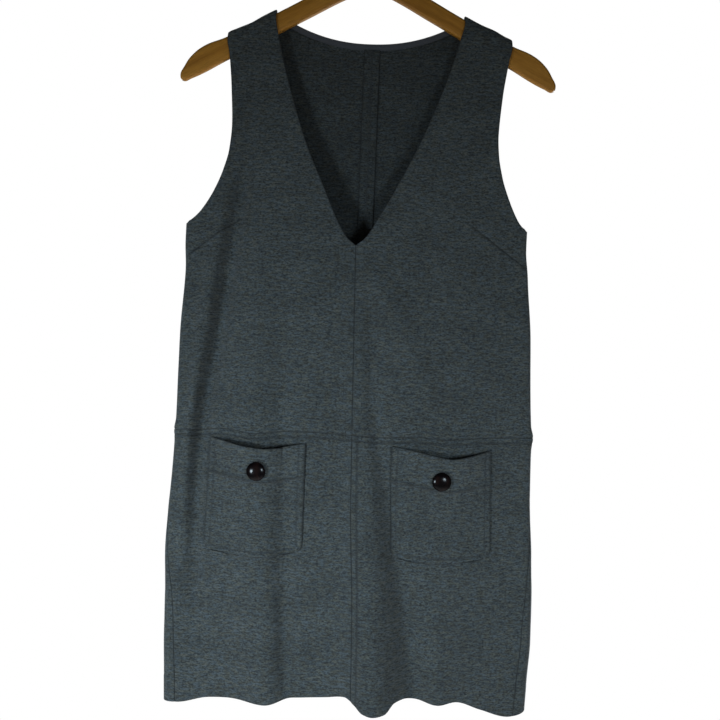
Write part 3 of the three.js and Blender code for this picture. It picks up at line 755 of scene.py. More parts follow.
TONES = (
    (0.044, 0.052, 0.0525), (0.041, 0.052, 0.058), (0.049, 0.053, 0.047),
    (0.080, 0.098, 0.098), (0.010, 0.012, 0.013),
)
REVERSE_SHARE = 0.7
knit_face = knit("knit", TONES, 1.0)
knit_reverse = knit("knit_reverse", TONES, REVERSE_SHARE)
KNIT = (knit_face, knit_reverse)
print("Knit made of", len(knit_face.node_tree.nodes), "nodes")

# %% [markdown]
# ## Bodice pieces
# Each of the four bodice pieces starts on top of the hanger's arm, turns over it as a strap, and
# runs to the waist seam. Its rows are slanted, so that they follow the neckline on one side and
# the armhole on the other. The strap's foot and the body are joined by a smooth curve.

# %% Bodice rows
FRONT_ROWS = table(
    "inner outer",
    (152, 176), (182, 199), (212, 224), (242, 249), (272, 274), (300, 298), (326, 319), (350, 338),
    (371, 353), (386, 364), (395, 373), (V_POINT_DOWN, UNDERARM_DOWN), (426, 406), (458, 442),
    (492, 482), (526, 521), (560, 558), (594, 593),
)
NECK_ROWS = table("neck outer", (102, 177), (84, 192), (62, 207), (36, 224), (0, 243))
BACK_ROWS = table(
    "inner outer",
    (200, 267), (244, 292), (286, 316), (326, 338), (360, 355), (386, 369),
    (V_POINT_DOWN, UNDERARM_DOWN), (426, 406), (458, 442), (492, 482), (526, 521), (560, 558),
    (594, 593),
)
BODICE_COLUMNS = 66
WAIST_LEAD = 31
STRAP_CLIMB = np.concatenate([EDGE_STEPS[:8], np.arange(6, 18.1, 1.5)])
STRAP_JOINT_STEPS = 9
STRAP_TOP_DOWN = 118
ALLOWANCE_WIDE = 9.5
ALLOWANCE_SHADOW = 0.9
ALLOWANCE_SHADOW_OFF = 0.7
ALLOWANCE_SHADOW_WIDE = 1.2


def finer(rows, first, second, step=MIDDLE_STEP):
    """Rows at an even step between the rows of a table, by two of its columns."""
    a, b = rows[first], rows[second]
    place = np.arange(len(a), dtype=float)
    counts = np.ceil(np.maximum(np.abs(np.diff(a)), np.abs(np.diff(b))) / step).astype(int)
    fine = np.concatenate([i + np.arange(n) / n for i, n in enumerate(counts)] + [place[-1:]])
    numbered = {"at": place, first: a, second: b}
    return follow(numbered, "at", first)(fine), follow(numbered, "at", second)(fine)


def body_edges(side, face):
    """How far round and down both ends of each row lie, from the neckline to the waist."""
    parts = []
    if face == BACK:
        neck, outer = finer(NECK_ROWS, "neck", "outer")
        around, down = back_neck_edge(side, neck)
        parts.append((around[:-1], down[:-1], outer[:-1]))
        joined = {k: np.concatenate([[a], BACK_ROWS[k]]) for k, a in
                  (("inner", BACK_NECK_DOWN), ("outer", NECK_ROWS["outer"][-1]))}
        inner, outer = finer(joined, "inner", "outer")
    else:
        inner, outer = finer(FRONT_ROWS, "inner", "outer")
    parts.append((inner_edge(side, face, inner), inner, outer))
    waist = WAIST_DOWN + SEAM_LAP / 2
    lead = np.arange(WAIST_LEAD, EDGE_STEPS[-1], -MIDDLE_STEP)
    last = waist - np.concatenate([lead, EDGE_STEPS[::-1]])
    parts.append((inner_edge(side, face, last), last, last))
    around_in, down_in, down_out = (np.concatenate(column) for column in zip(*parts))
    return around_in, down_in, outer_edge(side, face, down_out), down_out


def smooth_joint(foot, head, arrive):
    """Rows that lead from a strap's foot, straight down at first, to the head of the body."""
    reach = np.linalg.norm(head - foot, axis=-1, keepdims=True)
    leave = np.array([0, 0, -1.0]) * reach
    arrive = arrive / np.linalg.norm(arrive, axis=-1, keepdims=True) * reach
    return np.array([
        foot * (2 * t**3 - 3 * t**2 + 1)
        + leave * (t**3 - 2 * t**2 + t)
        + head * (3 * t**2 - 2 * t**3)
        + arrive * (t**3 - t**2)
        for t in np.linspace(0, 1, STRAP_JOINT_STEPS)[1:-1]
    ])


def bodice(side, face):
    around_in, down_in, around_out, down_out = body_edges(side, face)
    length = np.hypot(around_out - around_in, down_out - down_in)
    share = between_edges(length, BODICE_COLUMNS) / length[:, None]
    around = mix(around_in[:, None], around_out[:, None], share)
    down = mix(down_in[:, None], down_out[:, None], share)
    body = body_point(side, around, waved(side, face, around, down))

    wide = STRAP_OUTER - STRAP_INNER
    strap_share = between_edges(np.array(wide), BODICE_COLUMNS) / wide
    x = mix(STRAP_INNER, STRAP_OUTER, strap_share)
    turn = 90 * (1 - STRAP_CLIMB / STRAP_CLIMB[-1])
    strap = strap_point(side, face, x[None, :], turn[:, None])
    joint = smooth_joint(strap[-1], body[0], body[1] - body[0])
    points = np.concatenate([strap, joint, body])

    lead = len(strap) + len(joint)
    shares = np.concatenate([np.tile(strap_share, (lead, 1)), share])
    wide = np.concatenate([np.full(lead, wide), length])[:, None]
    far_in, far_out = wide * shares, wide * (1 - shares)
    top = np.concatenate([STRAP_CLIMB, np.full(len(points) - len(strap), FAR)])[:, None]
    on_strap = np.full((lead, points.shape[1]), FAR)
    low = np.concatenate([on_strap, WAIST_DOWN + SEAM_LAP / 2 - down])
    level = np.concatenate([0 * on_strap, down])
    detail = sunk(far_in, far_out, low)
    groove = np.zeros_like(detail)
    beyond = far_in - ALLOWANCE_WIDE - ALLOWANCE_SHADOW_OFF
    shadow = ALLOWANCE_SHADOW * hump(beyond, ALLOWANCE_SHADOW_WIDE) * (face == BACK)
    strap_x = np.broadcast_to(side * x, (lead, len(x)))
    uv = np.stack([
        np.concatenate([strap_x, side * around]),
        np.concatenate([points[:lead, :, 2], -down]),
    ], -1)
    name = f"{WHERE[face]}_bodice_{HANDS[side]}"
    edges = (far_in, far_out, top, low)
    made = cloth_wall(
        name + "_cloth", points, side * face, edges, detail, groove, uv, KNIT, inner_shade=shadow,
    )
    made.update(node=name, level=level, flat=(float(length.max()), WAIST_DOWN - STRAP_TOP_DOWN))
    return made


pieces = {}
for side in (LEFT, RIGHT):
    for face in (FRONT, BACK):
        made = bodice(side, face)
        pieces[made["node"]] = made
        print(made["node"], "has", len(made["piece"].data.polygons), "faces")

# %% [markdown]
# ## Bust darts
# A dart is a wedge of cloth folded away inside, and outside it shows as one thin sunken line from
# the side seam. The grid is too coarse for it, so the cloth is cut along five close parallel lines
# with the bisect operator, and the points on them are pressed in.

# %% Darts
DARTS = {
    LEFT: ((-211, 417.5), (-177.5, 391.5), (-145, 369)),
    RIGHT: ((193.6, 423.5), (158.7, 398), (119.3, 369)),
}
DART_DEEP = 1.0
DART_WIDE = 1.15
DART_CUTS = (-1.6, -0.8, 0, 0.8, 1.6)
DART_REACH = 4
DART_START = (-0.15, 0.12)
DART_END = (0.85, 1.0)
FRONTWARD = -0.2


def distance_to(line, points):
    """Distance from points (x, z) to a line of straight stretches, and how far along they are."""
    best = np.full(len(points), np.inf)
    share = np.zeros(len(points))
    for i, (start, end) in enumerate(zip(line[:-1], line[1:])):
        run = end - start
        t = np.clip((points - start) @ run / (run @ run), 0, 1)
        off = np.linalg.norm(points - start - t[:, None] * run, axis=1)
        share = np.where(off < best, (i + t) / (len(line) - 1), share)
        best = np.minimum(best, off)
    return best, share


def press_dart(piece, line):
    """Cuts the outside of a front piece along a line, sinks it into the cloth there and paints
    shade along it.
    """
    line = np.array([(x, -down) for x, down in line]) * MM
    mesh = bmesh.new()
    mesh.from_mesh(piece.data)
    for start, end in zip(line[:-1], line[1:]):
        run = (end - start) / np.linalg.norm(end - start)
        across = Vector((-run[1], 0, run[0]))
        for offset in DART_CUTS:
            faces = [f for f in mesh.faces if f.material_index == 0 and f.normal.y < FRONTWARD]
            middles = np.array([f.calc_center_median() for f in faces])[:, [0, 2]]
            off, _ = distance_to(np.array([start, end]), middles)
            faces = [f for f, gap in zip(faces, off) if gap < DART_REACH * DART_WIDE * MM]
            loose = {v for f in faces for v in f.verts} | {e for f in faces for e in f.edges}
            place = Vector((start[0], 0, start[1])) + across * offset * DART_WIDE * MM
            bmesh.ops.bisect_plane(mesh, geom=[*loose, *faces], plane_co=place, plane_no=across)
    mesh.normal_update()
    shade = mesh.verts.layers.float["seam"]
    verts = [v for v in mesh.verts if any(f.material_index == 0 for f in v.link_faces)]
    spots = np.array([v.co for v in verts])[:, [0, 2]]
    off, share = distance_to(line, spots)
    fade = ease(share, *DART_START) * (1 - ease(share, *DART_END))
    for v, sink in zip(verts, hump(off, DART_WIDE * MM) * fade):
        if v.normal.y < FRONTWARD:
            v.co.y += DART_DEEP * MM * sink
            # Painted shade along the sunken dart line.
            v[shade] = max(v[shade], sink)
    mesh.to_mesh(piece.data)
    mesh.free()


for side, line in DARTS.items():
    press_dart(pieces[f"front_bodice_{HANDS[side]}"]["piece"], line)
    print("Dart pressed into the", HANDS[side], "bodice")

# %% [markdown]
# ## Skirt pieces
# The skirt hangs from the waist seam. Its folds grow towards the hem, which dips where a fold
# comes forward, so the last row of each piece follows the hem and the rows above it share the way.

# %% Skirts
SKIRT_COLUMNS = 76
SKIRT_ROWS = 110
SKIRT_MIDDLE = 780
SKIRT_FULLNESS = 1.03
HEM_TURN = 30
HEM_TURN_RISE = 0.22


def skirt(side, face):
    waist = WAIST_DOWN - SEAM_LAP / 2
    width = abs(float(outer_edge(side, face, SKIRT_MIDDLE) - inner_edge(side, face, SKIRT_MIDDLE)))
    far_in = between_edges(np.array(width), SKIRT_COLUMNS)
    share = far_in / width
    at_hem = mix(inner_edge(side, face, HEM_LEVEL), outer_edge(side, face, HEM_LEVEL), share)
    hem = hem_at(side * at_hem)
    tall = float(hem.mean()) - waist
    fall = between_edges(np.array(tall), SKIRT_ROWS)[:, None] / tall
    down = mix(waist, hem[None, :], fall)
    around = mix(inner_edge(side, face, down), outer_edge(side, face, down), share)
    points = body_point(side, around, waved(side, face, around, down))
    edges = np.broadcast_arrays(far_in, width - far_in, fall * tall, (1 - fall) * tall)
    detail = sunk(*edges[:3]) + HEM_TURN_RISE * ease(HEM_TURN - edges[3], -1, 1)
    groove = stitched(edges[2])
    if (side, face) == (RIGHT, FRONT):
        groove = np.minimum(groove, stitched(edges[0]))
    name = f"{WHERE[face]}_skirt_{HANDS[side]}"
    uv = np.stack([side * around, -down], -1)
    made = cloth_wall(name + "_cloth", points, side * face, edges, detail, groove, uv, KNIT)
    made.update(node=name, flat=(width * SKIRT_FULLNESS, float(hem.max()) - waist))
    return made


for side in (LEFT, RIGHT):
    for face in (FRONT, BACK):
        made = skirt(side, face)
        pieces[made["node"]] = made
        print(made["node"], "has", len(made["piece"].data.polygons), "faces")

# %% [markdown]
# ## Patch pockets
# A pocket is one more layer of the knit on the skirt. Its mouth sags between its corners and gapes
# under the weight of the button, its lower corners are round, and the deep facing turned in at
# the mouth shows through as a step with a line of stitches.

# %% Pockets
POCKETS = {
    LEFT: {
        "top": (-177.5, 634, -63, 637.5), "low": (-183, -64), "bottom": 768, "bow": 6,
        "sag": 10.2, "lowest": 0.555, "widest": 0.5, "button": (-119, 671.2),
    },
    RIGHT: {
        "top": (38, 638.5, 156, 641.5), "low": (38.2, 158.5), "bottom": 771, "bow": 6.5,
        "sag": 12.4, "lowest": 0.58, "widest": 0.63, "button": (96.4, 678.2),
    },
}
POCKET_MOUTH_POWER = 1.3
POCKET_GAPE = 13
POCKET_GAPE_POWER = 1.2
POCKET_GAPE_REACH = 0.62
BUTTON_HOLD = 0.25
BUTTON_HOLD_WIDE = 12
POCKET_SEAM_GAP = 0.5
POCKET_EASE = 0.8
POCKET_EASE_POWER = 0.5
POCKET_EASE_FADE = 8
POCKET_CORNER = 12
POCKET_STEPS = np.array([0, 0.12, 0.35, 0.65, 1.0, 1.6, 2.6, 4.2, 5.8, 6.5, 7.1, 7.7, 9.5])
POCKET_STITCH_SHARE = 0.6
POCKET_STITCH_STEP = 10
POCKET_COLUMNS = 48
POCKET_ROWS = 42
POCKET_FULLNESS = (1.06, 1.09)
POCKET_CUT_FROM = (331, 117)
# Painted shade along the pocket's sides and bottom, above its facing line and in its creases.
RIM_WIDE = 1.6
FACING_SHADE = 0.6
FACING_SHADE_ABOVE = 1.8
FACING_SHADE_WIDE = 2
CREASE_SHADE = 0.2
CREASE_SHADE_DEPTH = 2
FACING_DEEP = 40
FACING_RISE = 0.5
FACING_RIDGE = 1.1
FACING_STEP = (-1.8, 0.4)
FACING_RIDGE_WIDE = 9
FACING_ROWS = np.array([-2.4, -1.4, -0.7, 0, 0.7, 1.4, 2.4])
FACING_ROWS_CLEAR = 3


def front_normal(x, down):
    """Outward normal of the front at places (x, down)."""
    def surface(dx, dz):
        return body_point(RIGHT, x + dx - middle_at(down + dz), down + dz)
    return surface_normal(surface, -1)


def leaning(share, crest):
    """Moves the middle of a pocket's mouth to its crest, and leaves its corners in place."""
    return np.clip(share, 0, 1) ** (math.log(0.5) / math.log(crest))


def pocket_mouth(pocket, share):
    """How far down the edge of the mouth lies."""
    _, left_down, _, right_down = pocket["top"]
    off = np.abs(2 * leaning(share, pocket["lowest"]) - 1)
    return mix(left_down, right_down, share) + pocket["sag"] * (1 - off**POCKET_MOUTH_POWER)


def pocket_foot(pocket, share):
    return pocket["bottom"] + pocket["bow"] * np.sin(math.pi * np.clip(share, 0, 1))


def pocket_point(pocket, share, fall, lift=0.0):
    """The inside of a pocket, and lift is how far out from there."""
    bottom = pocket_foot(pocket, share)
    down = mix(pocket_mouth(pocket, share), bottom, fall)
    left = mix(pocket["top"][0], pocket["low"][0], fall)
    right = mix(pocket["top"][2], pocket["low"][1], fall)
    short = np.clip(POCKET_CORNER - (bottom - down), 0, POCKET_CORNER)
    inset = POCKET_CORNER - np.sqrt(POCKET_CORNER**2 - short**2)
    x = mix(left + inset, right - inset, share)
    open_share = np.clip(1 - fall / POCKET_GAPE_REACH, 0, 1)
    held = 1 - BUTTON_HOLD * hump(x - pocket["button"][0], BUTTON_HOLD_WIDE)
    wide_open = np.sin(math.pi * leaning(share, pocket["widest"])) ** POCKET_GAPE_POWER
    gape = POCKET_GAPE * open_share**2 * wide_open * held
    arch = np.sin(math.pi * np.clip(share, 0, 1)) ** POCKET_EASE_POWER
    slack = POCKET_EASE * arch * (1 - fall**POCKET_EASE_FADE)
    skin = body_point(RIGHT, x - middle_at(down), down)
    return skin + front_normal(x, down) * (POCKET_SEAM_GAP + gape + slack + lift)[..., None]


POCKET_CREASES = {
    LEFT: table(CREASE, (-152, 724, -124, 734, -1.7, 3.6), (-170, 700, -150, 690, -0.6, 5),
                (-112, 690, -84, 715, -0.6, 6), (-134, 656, -160, 650, -0.6, 4)),
    RIGHT: table(CREASE, (60, 664, 84, 672, -0.7, 4), (112, 668, 140, 660, -0.7, 4),
                 (84, 667, 112, 669, 0.8, 2.6), (56, 742, 84, 752, -0.7, 6)),
}


def pocket(side):
    p = POCKETS[side]
    width = p["top"][2] - p["top"][0]
    tall = p["bottom"] - p["top"][1] - p["sag"] / 2
    columns = between_edges(np.array(width), POCKET_COLUMNS, POCKET_STEPS)
    rows = between_edges(np.array(tall), POCKET_ROWS, POCKET_STEPS)
    rows = rows[np.abs(rows - FACING_DEEP) > FACING_ROWS_CLEAR]
    rows = np.sort(np.concatenate([rows, FACING_DEEP + FACING_ROWS]))
    share, fall = np.meshgrid(columns / width, rows / tall)
    points = pocket_point(p, share, fall, lift=np.full(share.shape, CLOTH))
    creases["pocket"] = POCKET_CREASES[side]
    crease = creases_out("pocket", points[..., 0], -points[..., 2])
    points[..., 1] -= crease
    beside = np.minimum(share, 1 - share) * width
    top, low = fall * tall, (1 - fall) * tall
    above = FACING_DEEP - top
    ridge = FACING_RIDGE * (1 - ease(above, FACING_STEP[1], FACING_RIDGE_WIDE))
    facing = ease(above, *FACING_STEP) * (FACING_RISE + ridge)
    line = POCKET_STEPS[POCKET_STITCH_STEP]
    detail = sunk(beside, low, top) + facing
    edges = POCKET_STITCH_SHARE * stitched(np.minimum(beside, low), line)
    groove = np.minimum(edges, stitched(top, FACING_DEEP))
    # Painted shade: a dark band just above the facing line and in the troughs of the pocket's
    # creases, and a dark line along its sides and bottom, all into the seam attribute of the
    # outside.
    painted_pocket_shade = FACING_SHADE * hump(above - FACING_SHADE_ABOVE, FACING_SHADE_WIDE)
    painted_pocket_shade = painted_pocket_shade + CREASE_SHADE * np.clip(-crease, 0, CREASE_SHADE_DEPTH)
    rim = np.maximum(hump(np.minimum(beside, low), RIM_WIDE), painted_pocket_shade)
    uv = points[..., [0, 2]] + POCKET_CUT_FROM
    name = f"pocket_{HANDS[side]}"
    made = cloth_wall(
        name + "_cloth", points, -1, (beside, top, low), detail, groove, uv, KNIT, shade=rim,
    )
    flat = (width * POCKET_FULLNESS[0], tall * POCKET_FULLNESS[1])
    made.update(node=name, flat=flat, facing=int(np.searchsorted(rows, FACING_DEEP)))
    return made


for side in (LEFT, RIGHT):
    made = pocket(side)
    pieces[made["node"]] = made
    print(made["node"], "has", len(made["piece"].data.polygons), "faces")

# %% [markdown]
# ## Inside the neck
# Through the V the inside of the back shows: a smooth woven tape along the neckline, and the
# centre-back seam with its two allowances pressed open. They are thin strips on the inside face.

# %% Tape and seam allowances
TAPE_BELOW = 0.4
TAPE_WIDTH = 7.5
TAPE_THICK = 0.9
TAPE_HALF = 104
TAPE_PLACES = 54
TAPE_STITCH = 1.0
STRIP_STEPS = np.array([0, 0.1, 0.3, 0.6, 1.0])
STRIP_COLUMNS = 5
STRIP_LIFT = 0.05
ALLOWANCE_THICK = 1.5
ALLOWANCE_TOP = 163
ALLOWANCE_FOOT = WAIST_DOWN - 2
ALLOWANCE_STEPS = np.array([0, 0.12, 0.35, 0.7, 1.2])
ALLOWANCE_ROWS = 150
ALLOWANCE_TUCK = 0.3
ALLOWANCE_EDGE = 0.9
ALLOWANCE_STITCH = 1.4
ALLOWANCE_GROOVE = 0.4
ALLOWANCE_RIM_SHADE = 0.9
ALLOWANCE_RIM_WIDE = 1.0


def inside_back(side, around, down, lift):
    """Points over the inside of the back, that far in from the cloth."""
    def surface(da, dz):
        return body_point(side, around + da, down + dz)
    return surface(0, 0) - surface_normal(surface, -side) * (CLOTH + lift)


tape_material, tree, shader = new_material("woven_tape")
place = node(tree, "ShaderNodeUVMap", uv_map="cloth").outputs[0]
twill = stretched_noise(tree, place, (0.5, 2.5))
colour = ramp(tree, twill, (0.3, (0.030, 0.033, 0.041)), (0.7, (0.042, 0.046, 0.056)))
values = {"Roughness": 0.62, "Sheen Weight": 0.2}
finish_surface(tree, shader, colour, values, twill, strength=0.35, distance=0.0003)


def neck_tape():
    across = between_edges(np.array(TAPE_WIDTH), STRIP_COLUMNS, STRIP_STEPS)[:, None]
    halves = []
    for side in (LEFT, RIGHT):
        neck = np.linspace(0, TAPE_HALF, TAPE_PLACES)[1:]
        if side == LEFT:
            neck = np.linspace(TAPE_HALF, 0, TAPE_PLACES)
        around, edge = back_neck_edge(side, neck)
        down = edge + TAPE_BELOW + across
        shift = section_at(down)[3] - section_at(edge)[3]
        halves.append(inside_back(side, around + shift, down, STRIP_LIFT + TAPE_THICK))
    points = np.concatenate(halves, 1)
    run = np.linspace(0, 2 * TAPE_HALF, points.shape[1])
    ends = np.minimum(run, 2 * TAPE_HALF - run)
    uv = np.stack(np.broadcast_arrays(run, -across), -1)
    edges = np.broadcast_arrays(across, TAPE_WIDTH - across, ends)
    materials = (tape_material, tape_material)
    groove = stitched(edges[1], TAPE_STITCH)
    return cloth_wall("neck_tape", points, -1, edges, 0.0, groove, uv, materials, thick=TAPE_THICK)


def allowance(side):
    """One half of the seam allowance, pressed open on the inside of the back."""
    wide = np.array(ALLOWANCE_WIDE + ALLOWANCE_TUCK)
    order = between_edges(wide, STRIP_COLUMNS, ALLOWANCE_STEPS) - ALLOWANCE_TUCK
    order = order if side == RIGHT else order[::-1]
    tall = np.array(ALLOWANCE_FOOT - ALLOWANCE_TOP)
    down = between_edges(tall, ALLOWANCE_ROWS, STRIP_STEPS)[:, None] + ALLOWANCE_TOP
    order, down = np.broadcast_arrays(order, down)
    around = inner_edge(side, BACK, down) - order
    points = inside_back(side, around, down, STRIP_LIFT + ALLOWANCE_THICK)
    outer = ALLOWANCE_WIDE - order
    groove = ALLOWANCE_GROOVE * stitched(order, ALLOWANCE_STITCH)
    rim = ALLOWANCE_RIM_SHADE * hump(outer, ALLOWANCE_RIM_WIDE)
    uv = np.stack([side * around, -down], -1)
    return cloth_wall(
        f"seam_allowance_{HANDS[side]}", points, -1, (outer, order + ALLOWANCE_EDGE), 0.0,
        groove, uv, (knit_reverse, knit_reverse), thick=ALLOWANCE_THICK, shade=rim,
    )


tape = neck_tape()
allowances = [allowance(side) for side in (LEFT, RIGHT)]
print("Neck tape:", len(tape["piece"].data.polygons), "faces")

# %% [markdown]
# ## Topstitching
# Bump would fake the thread, but a stitch is a small real thing: a rounded bar of thread, pulled
# into the cloth at both ends. One bar is worked out along each line that the sewing machine ran,
# and all the bars of the dress are one mesh.

# %% Stitches
STITCH_LONG = 2.5
STITCH_PITCH = 3.1
THREAD = 0.52
BAR_PLACES = np.array([-0.5, -0.36, 0, 0.36, 0.5])
BAR_ROUND = np.array([0.35, 0.85, 1, 0.85, 0.35])
BAR_SIDES = 6
BAR_FLAT = 0.8
ENDS_FREE = 3
ALONG = slice(ENDS_FREE, -ENDS_FREE)
V_STITCHES = {"pitch": 5.2, "long": 1.5}
TAPE_STITCHES = {"pitch": 2.6, "long": 2.0, "thick": 0.4}


def thread_bars(spots, normals, pitch=STITCH_PITCH, long=STITCH_LONG, thick=THREAD, across=False):
    """Bars of thread along a line of spots, or across it: their points and faces."""
    run = np.concatenate([[0], np.cumsum(np.linalg.norm(np.diff(spots, axis=0), axis=1))])
    places = np.arange(pitch / 2, run[-1], pitch)
    def at(values):
        return np.stack([np.interp(places, run, values[:, k]) for k in range(3)], -1)
    spot, normal = at(spots), at(normals)
    ahead = at(np.gradient(spots, axis=0))
    ahead /= np.linalg.norm(ahead, axis=1, keepdims=True)
    beside = np.cross(ahead, normal)
    if across:
        ahead, beside = beside, ahead
    turn = np.arange(BAR_SIDES)[:, None] * 2 * math.pi / BAR_SIDES
    ring = np.cos(turn) * beside[:, None, None] + BAR_FLAT * np.sin(turn) * normal[:, None, None]
    middle = spot[:, None, None] + BAR_PLACES[:, None, None] * long * ahead[:, None, None]
    points = (middle + BAR_ROUND[:, None, None] * thick / 2 * ring).reshape(-1, 3)
    size = len(BAR_PLACES) * BAR_SIDES
    first = np.arange(len(places))[:, None] * size
    r, s = np.meshgrid(np.arange(len(BAR_PLACES) - 1), np.arange(BAR_SIDES), indexing="ij")
    a, b = r * BAR_SIDES + s, r * BAR_SIDES + (s + 1) % BAR_SIDES
    quads = np.stack([a, b, b + BAR_SIDES, a + BAR_SIDES], -1).reshape(1, -1, 4) + first[:, None]
    caps = [list(range(BAR_SIDES))[::-1], list(range(size - BAR_SIDES, size))]
    ends = [[f + i for i in cap] for f in first[:, 0].tolist() for cap in caps]
    return points, quads.reshape(-1, 4).tolist() + ends


def joined_mesh(name, parts, material):
    """One piece from several lists of points (mm) and faces."""
    points, faces, count = [], [], 0
    for spots, shapes in parts:
        points.append(spots)
        faces.extend([[i + count for i in shape] for shape in shapes])
        count += len(spots)
    mesh = bpy.data.meshes.new(name)
    mesh.from_pydata(np.concatenate(points) * MM, [], faces)
    facing = bmesh.new()
    facing.from_mesh(mesh)
    bmesh.ops.recalc_face_normals(facing, faces=facing.faces)
    facing.to_mesh(mesh)
    facing.free()
    mesh.polygons.foreach_set("use_smooth", np.ones(len(mesh.polygons), bool))
    mesh.materials.append(material)
    return placed(name, mesh)


thread_material, tree, shader = new_material("thread")
place = node(tree, "ShaderNodeTexCoord").outputs["Object"]
twist = noise(tree, place, 2600, 1.0)
colour = ramp(tree, twist, (0.3, (0.012, 0.014, 0.016)), (0.7, (0.03, 0.035, 0.04)))
finish_surface(tree, shader, colour, {"Roughness": 0.6}, twist, strength=0.4, distance=0.0001)


def column_line(made, column, rows=ALONG):
    return made["outside"][rows, column], made["normal"][rows, column]


def row_line(made, row):
    return made["outside"][row, ALONG], made["normal"][row, ALONG]


def pocket_line(made):
    """Down one side of a pocket, along its bottom and up the other side."""
    step = POCKET_STITCH_STEP
    line = []
    for grid in (made["outside"], made["normal"]):
        down, up = grid[ENDS_FREE:-step, step], grid[-step:ENDS_FREE:-1, -step]
        line.append(np.concatenate([down, grid[-step, step:-step], up]))
    return line


bars = []
for where in ("front", "back"):
    for hand in ("left", "right"):
        bars.append(thread_bars(*row_line(pieces[f"{where}_skirt_{hand}"], STITCH_STEP)))
right_bodice = pieces["front_bodice_right"]
below_v = int(np.argmax(right_bodice["level"][:, 0] > V_POINT_DOWN + 3))
bars.append(thread_bars(*column_line(right_bodice, 5, slice(below_v, -2)), **V_STITCHES))
bars.append(thread_bars(*column_line(pieces["front_skirt_right"], STITCH_STEP)))
bars.append(thread_bars(*row_line(tape, -5), **TAPE_STITCHES))
for hand in ("left", "right"):
    made = pieces[f"pocket_{hand}"]
    bars.append(thread_bars(*pocket_line(made)))
    bars.append(thread_bars(*row_line(made, made["facing"])))
for made, column in zip(allowances, (-5, 4)):
    bars.append(thread_bars(*column_line(made, column)))
print("Lines of stitches:", len(bars))

# %% [markdown]
# ## Buttons and buttonholes
# Each pocket has one domed horn button on a short thread shank, over a worked buttonhole that
# shows for three millimetres above it. The button is a profile turned with the spin operator. The
# buttonhole is two close rows of bars of thread on both sides of a slit.

# %% Buttons
BUTTON_PROFILE = (
    (0, 0), (2.2, 0), (2.4, 0.2), (2.4, 1.5), (8.6, 1.5), (9.8, 1.65), (10.7, 2.05), (11.2, 2.75),
    (11.3, 3.4), (11.05, 4.15), (10.5, 4.75), (9.6, 5.35), (8.4, 5.95), (6.9, 6.5), (5.1, 6.92),
    (3.0, 7.2), (1.4, 7.28), (0, 7.3),
)
BUTTON_STEPS = 56
SEAT_STEP = 0.01


def deselect():
    for other in bpy.context.scene.objects:
        other.select_set(False)


def only(piece):
    """Selects one piece and nothing else."""
    deselect()
    piece.select_set(True)
    bpy.context.view_layer.objects.active = piece


def spun(name, profile, steps, material):
    """Turns a profile of (radius, height) about the Z axis."""
    mesh = bpy.data.meshes.new(name)
    ends = [(i, i + 1) for i in range(len(profile) - 1)]
    mesh.from_pydata([(r * MM, 0, h * MM) for r, h in profile], ends, [])
    piece = placed(name, mesh)
    only(piece)
    bpy.ops.object.mode_set(mode="EDIT")
    bpy.ops.mesh.select_all(action="SELECT")
    bpy.ops.mesh.spin(steps=steps, angle=2 * math.pi, center=(0, 0, 0), axis=(0, 0, 1))
    bpy.ops.mesh.select_all(action="SELECT")
    bpy.ops.mesh.remove_doubles(threshold=1e-6)
    bpy.ops.mesh.normals_make_consistent(inside=False)
    bpy.ops.object.mode_set(mode="OBJECT")
    bpy.ops.object.shade_smooth()
    mesh.materials.append(material)
    return piece


horn, tree, shader = new_material("horn")
place = node(tree, "ShaderNodeTexCoord").outputs["Object"]
streaks = stretched_noise(tree, place, (9, 2.5), detail=4)
colour = ramp(tree, streaks, (0.45, (0.0022, 0.0016, 0.002)), (0.75, (0.010, 0.0045, 0.004)))
values = {
    "Roughness": 0.17, "Specular IOR Level": 0.13, "Coat Weight": 0.04, "Coat Roughness": 0.05,
}
finish_surface(tree, shader, colour, values)


def button_seat(side):
    """Where a button sits on its pocket, and the way it faces."""
    p = POCKETS[side]
    x, down = p["button"]
    share = (x - p["top"][0]) / (p["top"][2] - p["top"][0])
    top = float(pocket_mouth(p, share))
    fall = (down - top) / (float(pocket_foot(p, share)) - top)
    near = SEAT_STEP * np.array([[0, 0], [1, 0], [-1, 0], [0, 1], [0, -1]])
    spot = pocket_point(p, share + near[:, 0], fall + near[:, 1], np.zeros(5))
    normal = Vector(np.cross(spot[3] - spot[4], spot[1] - spot[2])).normalized()
    return Vector(spot[0]) + normal * (CLOTH + BUTTON_GAP), normal


buttons = {}
for side in (LEFT, RIGHT):
    seat, facing = button_seat(side)
    button = spun(f"button_{HANDS[side]}_horn", BUTTON_PROFILE, BUTTON_STEPS, horn)
    turned = facing.to_track_quat("Z", "Y").to_matrix().to_4x4()
    button.data.transform(Matrix.Translation(seat * MM) @ turned)
    buttons[side] = button
    print("Button on the", HANDS[side], "pocket at", tuple(round(c) for c in seat), "mm")

# %% Buttonholes
HOLE_BELOW = 12.0
HOLE_ABOVE = {LEFT: 14.6, RIGHT: 12.9}
HOLE_HALF = 0.75
HOLE_ASIDE = 1.2
WHIP = {"pitch": 0.55, "long": 1.15, "thick": 0.5, "across": True}
WHIP_FORWARD = 0.05
SLIT = {"pitch": 26, "long": 26, "thick": 0.45}
END_TACK = {"pitch": 0.6, "long": 2.6, "thick": 0.5, "across": True}
END_TACK_FORWARD = 0.1
END_TACK_ROWS = slice(3)
V_TACK = {"pitch": 1.3, "long": 3.6, "thick": 0.5, "across": True}
V_TACK_ASIDE = 0.6
V_TACK_ROWS = 6


